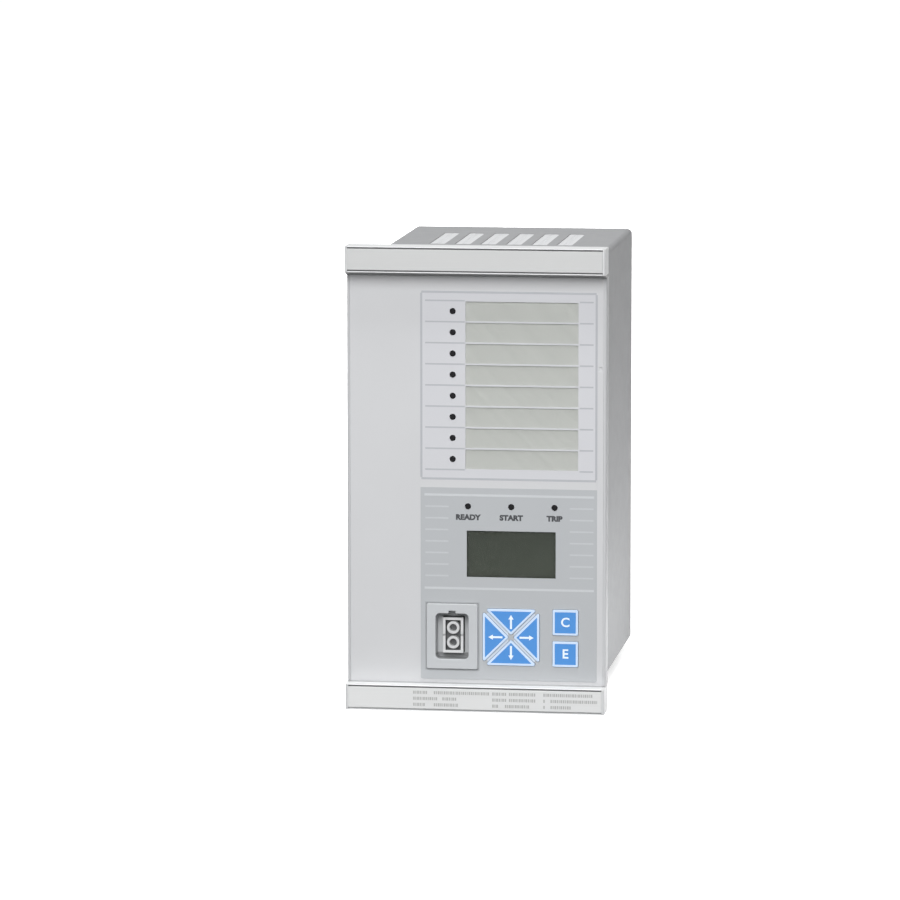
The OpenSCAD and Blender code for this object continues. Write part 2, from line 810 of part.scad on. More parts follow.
module status_lamps() color(lamp_dark) placed()
    for (p = status_places) lamp(p);

module display_window() color([0.5, 0.55, 0.5, 0.4]) placed()
    along_y(panel_set, display_window_t) translate([mid_cx, display_cz]) square(display_pane, center = true);

// Display cell, in the front of the module
module display_glass() color(display_green) placed()
    along_y(panel_set + display_window_t + fit, glass_t) translate([mid_cx, display_cz])
        square([display_w + 2 * glass_edge, display_h + 2 * glass_edge], center = true);

module display_module() color(steel) placed() {
    front = panel_set + display_window_t;
    rear = panel_back + fit;
    cell = [display_w, display_h] + 2 * [glass_edge, glass_edge];
    centre = [mid_cx, display_cz];
    difference() {
        union() {
            along_y(rear, board_y - rear) translate(centre)
                square(display_pane + 2 * [display_rim, display_rim], center = true);
            along_y(front, board_y - front) translate(centre) square(display_pane, center = true);
        }
        along_y(front - 1, 1 + fit + glass_t) translate(centre) square(cell + 2 * [fit, fit], center = true);
    }
}

// Bezel of the optical port: proud rim, recess with a key notch, floor open for the receptacle
module port_bezel() color(bezel_grey) placed() {
    centre = [port_cx, key_row_cz];
    difference() {
        union() {
            along_y(bezel_front, port_proud) translate(centre) round_rect(port_w, port_h, bezel_r);
            along_y(panel_set, recess_d - port_proud + bezel_floor) translate(centre)
                round_rect(recess_w + 2 * bezel_wall, recess_h + 2 * bezel_wall, recess_r);
        }
        along_y(bezel_front - 1, 1 + recess_d) translate(centre) {
            round_rect(recess_w, recess_h, recess_r);
            translate([0, recess_h / 2]) square(recess_notch, center = true);
        }
        along_y(bezel_front + recess_d - 1, bezel_floor + 2) translate(centre)
            square([receptacle_w + 2 * fit, receptacle_h + 2 * fit], center = true);
    }
}

module port_receptacle() color(bezel_grey) placed() {
    centre = [port_cx, key_row_cz];
    outer = [receptacle_w, receptacle_h];
    difference() {
        along_y(receptacle_y, board_y - receptacle_y) translate(centre) square(outer, center = true);
        along_y(receptacle_y - 1, 1 + receptacle_depth) translate(centre)
            square(outer - 2 * [receptacle_wall, receptacle_wall], center = true);
        along_y(receptacle_y - 1, 2) translate(centre) square([receptacle_w + 2, split_w], center = true);
    }
}

module port_ferrules() color(steel) placed()
    for (k = [-1, 1])
        along_y(receptacle_y + ferrule_set, receptacle_depth - ferrule_set)
            translate([port_cx, key_row_cz + k * ferrule_pitch / 2]) difference() {
                circle(ferrule_d / 2);
                circle(ferrule_bore / 2);
            }

// Board behind the panel that carries the lamps, display, switches and port
module operator_board() color(board_green) placed()
    difference() {
        block([-board_w / 2, board_y, board_lo], [board_w / 2, board_back, board_hi]);
        for (p = spacer_places) rod(p, board_screw_r + fit, board_y - 1, board_t + 2);
    }

module key_switches() color(black_plastic) placed()
    for (i = [0 : len(key_places) - 1]) difference() {
        along_y(switch_y, switch_h) translate(stem_place(i)) square(switch_w, center = true);
        rod(stem_place(i), well_d / 2, switch_y - 1, 1 + well_depth);
    }

module board_spacers() color(steel) placed()
    for (p = spacer_places) along_y(panel_back, board_gap) translate(p) difference() {
        circle(spacer_d / 2);
        circle(board_screw_r + thread_gap);
    }

module board_screws() color(steel) placed()
    for (p = spacer_places)
        rear_screw(p, board_screw_r, board_screw_head_r, board_screw_head_h, board_back,
            board_t + board_gap / 2);

module key_up() color(key_blue) placed() key(0);

module key_left() color(key_blue) placed() key(1);

module key_down() color(key_blue) placed() key(2);

module key_right() color(key_blue) placed() key(3);

module key_clear() color(key_blue) placed() key(4);

module key_enter() color(key_blue) placed() key(5);

// Row of vent slots between two heights, each smaller by an inset all round
module vent_slots(inset, low, high) {
    for (i = [0 : slot_count - 1])
        translate([i * slot_pitch - slots_half, slot_front + slot_len / 2, low])
            linear_extrude(high - low)
                round_rect(slot_w - 2 * inset, slot_len - 2 * inset, slot_r - inset);
}

// Folded sleeve with a turned-in rear edge
module case_shell() color(case_grey) placed()
    difference() {
        along_y(seat_y, cover_y - seat_y) translate([0, case_z]) round_rect(case_w, case_h, bend_r);
        along_y(seat_y - 1, edge_y - seat_y + 1) translate([0, case_z])
            round_rect(in_w, in_h, bend_r - sheet_t);
        along_y(seat_y, cover_y - seat_y + 1) translate([0, case_z]) square(opening, center = true);
        vent_slots(0, case_z - case_h, case_z + case_h);
        for (z = bracket_zs)
            along_x(-case_w, 2 * case_w) translate([seat_y + sheet_t + bracket_y, z]) circle(bracket_d / 2);
        for (sx = [-1, 1], z = cover_screw_zs)
            rod([sx * cover_screw_x, z], m3_r + thread_gap, edge_y - 1, sheet_t + 2);
    }

// Flange round the front of the sleeve, which seats on the wall and carries the front
module case_collar() color(case_grey) placed()
    difference() {
        along_y(seat_y, sheet_t) translate([0, frame_h / 2])
            square([frame_w - 2 * collar_inset, frame_h - 2 * plate_inset], center = true);
        along_y(seat_y - 1, sheet_t + 2) translate([0, case_z]) round_rect(case_w, case_h, bend_r);
        for (sx = [-1, 1], z = collar_screw_zs)
            rod([sx * collar_screw_x, z], m3_r + thread_gap, seat_y - 1, sheet_t + 2);
    }

// Perforated sheets under the top slots and over the bottom ones, with lands pressed into the slots
module vent_screens() color(steel) placed() {
    half = slots_half + slot_w / 2 + screen_margin / 2;
    holes = floor((slot_len - screen_hole_d) / screen_hole_pitch);
    for (sheet = [floor_z, roof_z - screen_t]) {
        low = sheet == floor_z ? floor_z - land_h : sheet;
        high = low + screen_t + land_h;
        difference() {
            union() {
                block([-half, slot_front - screen_margin, sheet],
                    [half, slot_front + slot_len + screen_margin, sheet + screen_t]);
                vent_slots(fit, low, high);
            }
            for (i = [0 : slot_count - 1], j = [0 : holes])
                translate([i * slot_pitch - slots_half,
                    slot_front + slot_len / 2 + (j - holes / 2) * screen_hole_pitch, low - 1])
                    cylinder(h = high - low + 2, r = screen_hole_d / 2);
        }
    }
}

// Flat rear plate on the sleeve's turned-in edge, open for the terminals
module rear_cover() color(case_grey) placed()
    difference() {
        along_y(cover_y, cover_t) translate([0, case_z]) round_rect(case_w, case_h, bend_r);
        along_y(cover_y - 1, cover_t + 2) {
            translate([measuring_cx, case_z])
                square([measuring_w + 2 * fit, measuring_h + 2 * fit], center = true);
            for (z = header_zs) translate([header_cx, z])
                square([header_w + 2 * fit, header_h + 2 * fit], center = true);
            translate([serial_cx, serial_cz]) {
                square(serial_shell + 2 * [fit, fit], center = true);
                for (k = [-1, 1]) translate([0, k * jack_pitch / 2]) circle(m3_r + fit);
            }
            translate(earth_place) circle(earth_r + thread_gap);
            for (sx = [-1, 1], z = cover_screw_zs) translate([sx * cover_screw_x, z]) circle(m3_r + fit);
        }
    }

module rear_cover_screws() color(steel) placed()
    for (sx = [-1, 1], z = cover_screw_zs)
        rear_screw([sx * cover_screw_x, z], m3_r, m3_head_r, m3_head_h, case_rear,
            cover_t + sheet_t + screw_end);

module backplane_board() color(board_green) placed()
    difference() {
        block([-in_w / 2 + backplane_edge, backplane_y, floor_z + backplane_edge],
            [in_w / 2 - backplane_edge, backplane_back, roof_z - backplane_edge]);
        for (sx = [-1, 1], sz = [-1, 1])
            rod([sx * post_x, case_z + sz * post_z], m3_r + fit, backplane_y - 1, backplane_t + 2);
    }

// Posts from the carrier plate to the backplane, with a threaded spigot at each end
module backplane_posts() color(steel) placed()
    for (sx = [-1, 1], sz = [-1, 1]) {
        place = [sx * post_x, case_z + sz * post_z];
        rod(place, post_d / 2, seat_y, backplane_y - seat_y);
        rod(place, m3_r, rail_d + fit, backplane_back + 1 - rail_d - fit);
    }

module backplane_connectors() color(black_plastic) placed()
    for (x = card_xs) difference() {
        block([x - connector_w / 2, backplane_back, case_z - connector_h / 2],
            [x + connector_w / 2, backplane_back + connector_len, case_z + connector_h / 2]);
        block([x - card_t / 2 - fit, card_front - fit, case_z - connector_h],
            [x + card_t / 2 + fit, card_front + connector_len, case_z + connector_h]);
    }

module link_connector() color(black_plastic) placed()
    along_y(board_back, link_len) translate([0, case_z]) square(link_size, center = true);

module card_guides() color(black_plastic) placed()
    for (x = card_xs, top = [0, 1])
        along_y(guide_front, guide_len) translate([x, top ? roof_z : floor_z]) mirror([0, top]) difference() {
            translate([-guide_w / 2, 0]) square([guide_w, guide_h]);
            translate([-card_t / 2 - fit, guide_base]) square([card_t + 2 * fit, guide_h]);
        }

module card(x) {
    block([x - card_t / 2, card_front, card_lo], [x + card_t / 2, card_rear, card_hi]);
}

module transformer_card() color(board_green) placed() card(transformer_card_x);

// Row of potted transformers on the outer face of their card
module transformer_row(y0) {
    face = transformer_card_x - card_t / 2;
    foot = transformer_foot;
    for (i = [0 : transformer_rows - 1]) {
        z = case_z + (i - (transformer_rows - 1) / 2) * transformer_pitch;
        low = [face - transformer_size[0], y0, z - transformer_size[2] / 2];
        high = low + transformer_size;
        block(low, high - [foot[0], 0, 0]);
        block([face - foot[0], low[1] - foot[1], low[2] - foot[2]], high + [0, foot[1], foot[2]]);
    }
}

module current_transformers() color(black_plastic) placed()
    transformer_row(measuring_front - transformer_gap - transformer_size[1]);

module voltage_transformers() color(black_plastic) placed()
    transformer_row(measuring_front - 2 * (transformer_gap + transformer_size[1]));

module power_card() color(board_green) placed() card(power_card_x);

// Wound core: a square frame round a coil
module supply_transformer() color([0.35, 0.33, 0.30]) placed() {
    limb = wound_core_limb;
    low = [power_card_x - card_t / 2 - wound_core_size[0], wound_core_place[0], wound_core_place[1]];
    high = low + wound_core_size;
    difference() {
        block(low, high);
        block(low + [limb, -1, limb], high + [-limb, 1, -limb]);
    }
    block(low + [limb, coil_inset, limb], high - [limb, coil_inset, limb]);
}

module filter_capacitors() color([0.16, 0.18, 0.28]) placed()
    for (i = [0, 1], j = [0, 1])
        along_x(power_card_x - card_t / 2 - capacitor_len, capacitor_len)
            translate(capacitor_place + [i * capacitor_pitch[0], -j * capacitor_pitch[1]])
                circle(capacitor_r);

module heat_sink() color([0.55, 0.56, 0.57]) placed() {
    face = power_card_x - card_t / 2;
    low = [face - sink_base, sink_place[0], sink_place[1]];
    block(low, low + [sink_base, sink_size[1], sink_size[2]]);
    for (i = [0 : sink_fins - 1])
        translate([face - sink_size[0], low[1], low[2] + i * (sink_size[2] - sink_fin_t) / (sink_fins - 1)])
            cube([sink_size[0] - sink_base, sink_size[1], sink_fin_t]);
}

module output_relays() color([0.15, 0.16, 0.20]) placed()
    for (i = [0 : relay_count - 1])
        translate([power_card_x + card_t / 2, header_front - relay_gap - relay_size[1],
            case_z + (i - (relay_count - 1) / 2) * relay_pitch - relay_size[2] / 2])
            cube(relay_size);

module processor_card() color(board_green) placed() card(processor_card_x);

module processor_chips() color(black_plastic) placed()
    for (i = [0 : len(chip_sizes) - 1]) {
        place = chip_place + i * chip_step;
        translate([processor_card_x + card_t / 2, place[0], place[1]]) cube(chip_sizes[i]);
    }

// Screw terminal block for the measuring circuits: one screw and one wire entry for each pole
module measuring_terminals() color(terminal_grey) placed() {
    entry_x = measuring_cx + measuring_w / 5;
    difference() {
        along_y(measuring_front, measuring_rear - measuring_front)
            translate([measuring_cx, case_z]) square([measuring_w, measuring_h], center = true);
        for (z = measuring_zs) {
            rod([measuring_screw_x, z], measuring_screw_r + fit, measuring_screw_y, measuring_screw_h + 2);
            along_y(measuring_rear - wire_depth, wire_depth + 1) translate([entry_x, z])
                square(wire_entry, center = true);
        }
        for (i = [1 : measuring_poles - 1])
            along_y(measuring_rear - 1, 2)
                translate([measuring_cx, case_z + (i - measuring_poles / 2) * measuring_pitch])
                    square([measuring_w + 2, slot_cut], center = true);
    }
}

module measuring_screws() color(steel) placed()
    for (z = measuring_zs) {
        place = [measuring_screw_x, z];
        difference() {
            rod(place, measuring_screw_r, measuring_screw_y, measuring_screw_h);
            along_y(measuring_screw_y + measuring_screw_h / 2, measuring_screw_h) translate(place)
                square([2 * measuring_screw_r + 1, slot_cut], center = true);
        }
    }

// Open sockets on the power card for the two plugs
module plug_headers() color(plug_green) placed()
    for (z = header_zs) difference() {
        along_y(header_front, header_rear - header_front)
            translate([header_cx, z]) square([header_w, header_h], center = true);
        along_y(plug_front, header_rear) translate([header_cx, z])
            square([plug_w + 2 * fit, plug_h + 2 * fit], center = true);
    }

// Plugs with a wire entry at the rear and a screw at the side for each pole
module terminal_plugs() color(plug_green) placed()
    for (centre = header_zs) difference() {
        along_y(plug_front, plug_rear - plug_front)
            translate([header_cx, centre]) square([plug_w, plug_h], center = true);
        for (i = [0 : plug_poles - 1]) {
            z = centre + (i - (plug_poles - 1) / 2) * plug_pitch;
            along_y(plug_rear - plug_entry_depth, plug_entry_depth + 1)
                translate([header_cx - plug_w / 6, z]) square(plug_entry, center = true);
            along_x(header_cx + plug_w / 2 - plug_screw_h, plug_screw_h + 1)
                translate([plug_screw_y, z]) circle(plug_screw_r + fit);
        }
    }

module plug_screws() color(steel) placed()
    for (centre = header_zs, i = [0 : plug_poles - 1]) {
        z = centre + (i - (plug_poles - 1) / 2) * plug_pitch;
        seat_x = header_cx + plug_w / 2 - plug_screw_h;
        difference() {
            along_x(seat_x, plug_screw_h - fit) translate([plug_screw_y, z]) circle(plug_screw_r);
            along_x(seat_x + plug_screw_h / 2, plug_screw_h)
                translate([plug_screw_y, z]) square([slot_cut / 2, 2 * plug_screw_r + 1], center = true);
        }
    }

// Serial socket on the processor card: flange inside the cover, shell through it
module serial_port() color(steel) placed() {
    centre = [serial_cx, serial_cz];
    shell = serial_shell / 2;
    difference() {
        union() {
            along_y(card_rear - serial_grip, edge_y - card_rear + serial_grip) translate(centre)
                square([serial_flange[0], serial_shell[1] + 2], center = true);
            along_y(edge_y, sheet_t) translate(centre) square(serial_flange, center = true);
            along_y(cover_y, cover_t + serial_out) translate(centre)
                polygon([[-shell[0], -shell[1] + serial_slant], [shell[0], -shell[1]],
                    [shell[0], shell[1]], [-shell[0], shell[1] - serial_slant]]);
        }
        for (row = [0, 1], i = [0 : serial_pins[row] - 1]) {
            pin = [(0.5 - row) * serial_row_pitch, (i - (serial_pins[row] - 1) / 2) * serial_pin_pitch];
            rod(centre + pin, serial_pin_r, case_rear, serial_out + 2);
        }
        for (k = [-1, 1])
            rod(centre + [0, k * jack_pitch / 2], m3_r + thread_gap, edge_y - 1, sheet_t + 2);
    }
}

module serial_jack_screws() color(steel) placed()
    for (k = [-1, 1]) {
        place = [serial_cx, serial_cz + k * jack_pitch / 2];
        rod(place, m3_r, edge_y - 1, sheet_t + cover_t + 1);
        along_y(case_rear, jack_len) translate(place) difference() {
            circle(jack_r, $fn = 6);
            circle(jack_bore_r);
        }
    }

module earth_screw() color(steel) placed()
    rear_screw(earth_place, earth_r, earth_head_r, earth_head_h, case_rear + earth_washer_t,
        earth_washer_t + earth_end);

module earth_washer() color(steel) placed()
    along_y(case_rear, earth_washer_t) translate(earth_place) difference() {
        circle(earth_washer_r);
        circle(earth_r + fit);
    }

top_rail();
bottom_rail();
top_rail_strip();
bottom_rail_strip();
rail_end_caps();
rail_screws();
carrier_plate();
collar_screws();
front_panel();
overlay_foil();
legend_film();
legend_sheet();
indicator_lamps();
status_lamps();
display_window();
display_glass();
display_module();
port_bezel();
port_receptacle();
port_ferrules();
operator_board();
key_switches();
board_spacers();
board_screws();
key_up();
key_left();
key_down();
key_right();
key_clear();
key_enter();
case_shell();
case_collar();
vent_screens();
rear_cover();
rear_cover_screws();
backplane_board();
backplane_posts();
backplane_connectors();
link_connector();
card_guides();
transformer_card();
current_transformers();
voltage_transformers();
power_card();
supply_transformer();
filter_capacitors();
heat_sink();
output_relays();
processor_card();
processor_chips();
measuring_terminals();
measuring_screws();
plug_headers();
terminal_plugs();
plug_screws();
serial_port();
serial_jack_screws();
earth_screw();
earth_washer();
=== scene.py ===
"""Looks of a panel-mounted protection relay: satin rails, a painted panel with a printed foil, embossed
keys, an optical port, a zinc-coated case and the terminals at its rear."""

import json
import math

import bmesh
import bpy
from mathutils import Matrix, Vector

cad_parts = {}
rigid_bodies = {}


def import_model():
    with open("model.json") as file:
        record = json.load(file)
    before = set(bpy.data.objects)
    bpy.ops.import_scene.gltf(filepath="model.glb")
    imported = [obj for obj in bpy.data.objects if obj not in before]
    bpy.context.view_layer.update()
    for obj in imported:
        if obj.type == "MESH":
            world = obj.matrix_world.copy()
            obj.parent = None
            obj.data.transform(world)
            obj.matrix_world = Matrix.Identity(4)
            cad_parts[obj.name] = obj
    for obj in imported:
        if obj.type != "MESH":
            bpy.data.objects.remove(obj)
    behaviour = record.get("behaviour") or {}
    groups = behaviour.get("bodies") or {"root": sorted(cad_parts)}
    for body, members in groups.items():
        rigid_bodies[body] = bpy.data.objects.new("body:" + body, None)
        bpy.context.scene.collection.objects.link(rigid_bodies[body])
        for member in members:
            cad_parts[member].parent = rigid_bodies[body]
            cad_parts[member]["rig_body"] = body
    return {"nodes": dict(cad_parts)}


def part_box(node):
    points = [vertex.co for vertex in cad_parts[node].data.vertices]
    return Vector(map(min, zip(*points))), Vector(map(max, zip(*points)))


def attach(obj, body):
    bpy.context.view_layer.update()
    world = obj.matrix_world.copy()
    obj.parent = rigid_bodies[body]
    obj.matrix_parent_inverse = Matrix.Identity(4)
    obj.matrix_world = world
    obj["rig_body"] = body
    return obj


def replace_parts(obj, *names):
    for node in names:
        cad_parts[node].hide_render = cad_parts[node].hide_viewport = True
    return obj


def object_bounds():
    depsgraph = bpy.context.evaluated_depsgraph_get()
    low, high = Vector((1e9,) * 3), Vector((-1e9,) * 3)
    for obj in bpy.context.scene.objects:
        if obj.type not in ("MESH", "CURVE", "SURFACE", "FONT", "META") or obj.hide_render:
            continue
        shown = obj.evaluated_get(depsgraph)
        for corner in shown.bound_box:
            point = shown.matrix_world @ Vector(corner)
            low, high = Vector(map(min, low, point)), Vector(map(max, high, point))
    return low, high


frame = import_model()
cad_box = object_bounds()

MM = 0.001
RELAY = "relay"

# Keys with an arrow, and how far it is turned in degrees; keys with a letter
ARROW_KEYS = {"key_up": 0, "key_left": 90, "key_down": 180, "key_right": 270}
LETTER_KEYS = {"key_clear": "C", "key_enter": "E"}
LAMP_WORDS = ("READY", "START", "TRIP")

# Places on the front, taken from the frame
foil_low, foil_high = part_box("overlay_foil")
lamps_low, lamps_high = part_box("indicator_lamps")
status_low, status_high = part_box("status_lamps")
display_low, display_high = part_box("display_glass")
strip_low, strip_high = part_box("bottom_rail_strip")
top_strip_low, top_strip_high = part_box("top_rail_strip")
_, rail_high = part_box("bottom_rail")
top_rail_low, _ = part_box("top_rail")
port_low, port_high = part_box("port_bezel")
receptacle_low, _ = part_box("port_receptacle")
foil_y = foil_low.y
pad_middle = sum((c for node in ARROW_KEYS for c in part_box(node)), Vector()) / (2 * len(ARROW_KEYS))

# Sizes of the print on the foil
PRINT_RISE = 0.03 * MM
PRINT_SOFT = 0.05 * MM
LEGEND_FOOT = 133.1 * MM
CONTROL_TOP = 128.0 * MM
BORDER_IN = 0.5 * MM
BORDER_W = 1.2 * MM
ROW_LINE_W = 0.85 * MM
ROW_COUNT = 8
ROW_LEFT = (-29.3 * MM, -6.6 * MM)
ROW_RIGHT = (59.0 * MM, 66.8 * MM)
RULE_W = 1.3 * MM
RULE_ZS = (123.8 * MM, 70.1 * MM)
RULE_SPAN = (-29.8 * MM, 67.4 * MM)
STRIPE_W = 0.9 * MM
STRIPE_TOP = 117.1 * MM
STRIPE_STEP = 6.65 * MM
STRIPE_COUNT = 7
STRIPE_SPANS = ((-29.3 * MM, -16 * MM), (53.5 * MM, 67.1 * MM))
WORD_SIZE = 4.1 * MM
WORD_WEIGHT = 0.26 * MM
WORD_WIDEN = 1.09
WORD_DROP = 6.4 * MM
LETTERING_STEPS = 4

# Pale bands between the arrow keys, and a painted shadow: the dim rim round the port
PAD_BAND = 2.2 * MM
PAD_REACH = 27.2 * MM
PAD_HEART = 1.6 * MM
PORT_SHADOW_W = 1.4 * MM

# Fine print on the bottom strip: where its blocks begin and end, and how wide they are, in mm
RATING_LINES = (
    ((-35.2, -27.4), (-23.3, 7.9), (10.3, 18.3), (19.9, 34.7), (39.6, 67.2)),
    ((-35.2, -22.2), (-18.4, -10.2), (10.3, 18.3), (19.9, 34.7), (39.6, 40.8), (43.7, 70.6)),
    ((-35.2, -28.1), (-23.3, -10.3), (10.3, 12.9), (17.6, 30.7), (39.6, 40.8), (43.7, 54.6)))
RATING_BLOCKS = (0.85, 0.6, 1.0, 0.75, 0.45, 0.95)
RATING_STEP = 3.5 * MM
RATING_H = 1.8 * MM
RATING_GAP = 0.42 * MM

# Painted light and shade on the rails: painted shade in the grooves beside the strips, a painted
# highlight on the ledge under the panel with a painted shadow where it meets the panel, and painted
# shade under the lip over it
GROOVE_W = 0.9 * MM
GROOVE_DEEP = 0.45 * MM
GROOVE_SOFT = 0.2 * MM
LEDGE_H = 0.9 * MM
LEDGE_SOFT = 0.2 * MM
LIP_H = 2.2 * MM
LIP_SOFT = 0.15 * MM
LEDGE_SHADOW_W = 2.6 * MM
LEDGE_SHADOW_SOFT = 0.5 * MM

# Painted shade on the display cell and in the port, and a painted highlight on the lamps: how far in it
# starts and how softly
CELL_SHADE_X = (2.4 * MM, 1.4 * MM)
CELL_SHADE_Z = (2.2 * MM, 1.2 * MM)
LENS_HIGHLIGHT = (0.15 * MM, 0.15 * MM)
RECESS_DEPTH = (1.5 * MM, 1.2 * MM)
RECESS_FOOT = (0.3 * MM, 0.5 * MM)
POCKET_DEPTH = (1.1 * MM, 0.6 * MM)

# Sizes of the keys' dressing
KEY_CORNER = 0.88 * MM
KEY_BORDER = 1.3 * MM
KEY_MERGE = 0.1 * MM
KEY_DISH = 0.06 * MM
KEY_EDGE = 0.22 * MM
SIGN_RISE = 0.03 * MM
ARROW_REACH = (4.9 * MM, 13.0 * MM)
ARROW_HEAD = (3.0 * MM, 2.6 * MM)
ARROW_SHAFT = 1.15 * MM
LETTER_SIZE = 7.4 * MM
LETTER_WEIGHT = 0.16 * MM

# Radii of softened edges, and the steps of a round that is seen close up
RAIL_EDGE = 0.3 * MM
STRIP_EDGE = 0.2 * MM
PANEL_EDGE = 0.25 * MM
LAMP_EDGE = 0.16 * MM
BEZEL_EDGE = 0.45 * MM
RECEPTACLE_EDGE = 0.15 * MM
FERRULE_EDGE = 0.3 * MM
CASE_EDGE = 0.2 * MM
FINE_ROUND = 3

# Depths of the structures in the surfaces, and the ways that brushed lines run
BRUSH_DEPTH = 0.012 * MM
PAINT_DEPTH = 0.02 * MM
SKIN_DEPTH = 0.02 * MM
RESIN_DEPTH = 0.05 * MM
SLEEVE_DEPTH = 0.01 * MM
ZINC_DEPTH = 0.02 * MM
PLATING_DEPTH = 0.006 * MM
FOIL_DEPTH = 0.012 * MM
FIBRE_DEPTH = 0.01 * MM
FRAME_DEPTH = 0.03 * MM
INSERT_DEPTH = 0.012 * MM
TRACK_DEPTH = 0.02 * MM
LAMINATION_DEPTH = 0.05 * MM
LINES_ALONG_X = (6, 900, 900)
LINES_ALONG_Y = (400, 6, 400)

# How near points are welded, and which angles count as flat, sharp or creased
WELD = 0.002 * MM
FLAT_ANGLE = math.radians(0.5)
SHARP_ANGLE = math.radians(35)
CREASE_ANGLE = math.radians(50)
FACES_FRONT = -0.99


class Wire:
    """One output of a node, for use in Python sums."""

    def __init__(self, nodes, socket):
        self.nodes = nodes
        self.socket = socket

    def maths(self, operation, *operands):
        return self.nodes.add("ShaderNodeMath", {"operation": operation}, dict(enumerate(operands)))

    def larger(self, other):
        return self.maths("MAXIMUM", self, other)

    def __add__(self, other):
        return self.maths("ADD", self, other)

    def __sub__(self, other):
        return self.maths("SUBTRACT", self, other)

    def __rsub__(self, other):
        return self.maths("SUBTRACT", other, self)

    def __mul__(self, other):
        return self.maths("MULTIPLY", self, other)

    def __abs__(self):
        return self.maths("ABSOLUTE", self)

    __radd__ = __add__
    __rmul__ = __mul__


class Nodes:
    """The nodes of a material or of the world."""

    def __init__(self, tree):
        self.tree = tree

    def add(self, kind, settings=None, sockets=None, output=0):
        """Adds one node; settings come first, then the values or links of its sockets."""
        node = self.tree.nodes.new(kind)
        for key, value in (settings or {}).items():
            setattr(node, key, value)
        for key, value in (sockets or {}).items():
            if isinstance(value, Wire):
                self.join(value, node.inputs[key])
            else:
                node.inputs[key].default_value = value
        return Wire(self, node.outputs[output])

    def join(self, wire, socket):
        self.tree.links.new(wire.socket, socket)


class Look(Nodes):
    """A material: its constants, its place on the object and the nodes that feed its shader."""

    def __init__(self, name, **constants):
        self.material = bpy.data.materials.new(name)
        self.material.use_nodes = True
        super().__init__(self.material.node_tree)
        self.shader = self.tree.nodes["Principled BSDF"]
        for socket, value in constants.items():
            self.shader.inputs[socket.replace("_", " ")].default_value = value
        self.place = self.add("ShaderNodeTexCoord", output="Object")

    def feed(self, **wires):
        for socket, wire in wires.items():
            self.join(wire, self.shader.inputs[socket.replace("_", " ")])

    def axes(self):
        return [self.add("ShaderNodeSeparateXYZ", None, {0: self.place}, axis) for axis in "XYZ"]

    def noise(self, scale, detail=2.0, stretch=(1, 1, 1)):
        """Cloudy pattern from 0 to 1; a larger stretch packs it closer along that axis."""
        place = self.add("ShaderNodeMapping", None, {"Vector": self.place, "Scale": stretch})
        return self.add("ShaderNodeTexNoise", None, {"Vector": place, "Scale": scale, "Detail": detail})

    def cells(self, scale, output="Distance"):
        return self.add("ShaderNodeTexVoronoi", None, {"Vector": self.place, "Scale": scale}, output)

    def step(self, value, edge, soft):
        """0 below the edge and 1 above it, with a smooth change as wide as twice soft."""
        span = {"Value": value, "From Min": edge - soft, "From Max": edge + soft}
        return self.add("ShaderNodeMapRange", {"interpolation_type": "SMOOTHSTEP"}, span)

    def between(self, value, low, high, soft):
        return self.step(value, low, soft) - self.step(value, high, soft)

    def mix(self, share, first, second, blend="MIX"):
        settings = {"data_type": "RGBA", "blend_type": blend}
        return self.add("ShaderNodeMix", settings, {0: share, 6: first, 7: second}, 2)

    def shades(self, pattern, colour, darkest, lightest):
        """Shades of one colour, from its darkest where a pattern is 0 to its lightest where it is 1."""
        return self.mix(pattern, shifted(colour, darkest), shifted(colour, lightest))

    def bump(self, height, depth):
        self.feed(Normal=self.add("ShaderNodeBump", None, {"Height": height, "Distance": depth}))


def tone(red, green, blue):
    """Colour as it is seen on a screen, from 0 to 255, made linear."""
    parts = [c / 255 for c in (red, green, blue)]
    return [c / 12.92 if c <= 0.04045 else ((c + 0.055) / 1.055) ** 2.4 for c in parts] + [1.0]


def shifted(colour, factor):
    return [c * factor for c in colour[:3]] + [1.0]


# Tones of finishes that have several
RAIL_TONE = tone(204, 205, 206)
# Painted light and shade of the rails: a highlight on the ledge, a shadow where it meets the panel,
# shade under the lip and in the grooves
LEDGE_HIGHLIGHT_TONE = tone(232, 233, 233)
LEDGE_SHADOW_TONE = tone(140, 141, 142)
LIP_SHADE_TONE = tone(64, 65, 66)
GROOVE_SHADE_TONE = tone(70, 71, 73)
MARGIN_TONE = tone(204, 205, 207)
LEGEND_TONE = tone(204, 205, 209)
CONTROL_TONE = tone(180, 183, 186)
PAD_TONE = tone(205, 214, 226)
# Painted shadow round the port
PORT_SHADOW_TONE = tone(120, 122, 124)
WHITE = [1.0, 1.0, 1.0, 1.0]
PAPER_TONE = tone(201, 203, 200)
# Display cell: a lower tone, a darker top tone and an edge tone that are painted shade, and the tone of
# its dot grid
CELL_LOW_TONE = tone(60, 65, 57)
CELL_TOP_SHADE_TONE = tone(52, 57, 50)
CELL_DOT_TONE = tone(48, 53, 46)
CELL_EDGE_SHADE_TONE = tone(36, 39, 35)
# Lens of a lamp, and the lighter tone of a painted highlight at its tip
LENS_TONE = tone(16, 16, 18)
LENS_HIGHLIGHT_AND_CLOUD_TONE = tone(30, 30, 32)
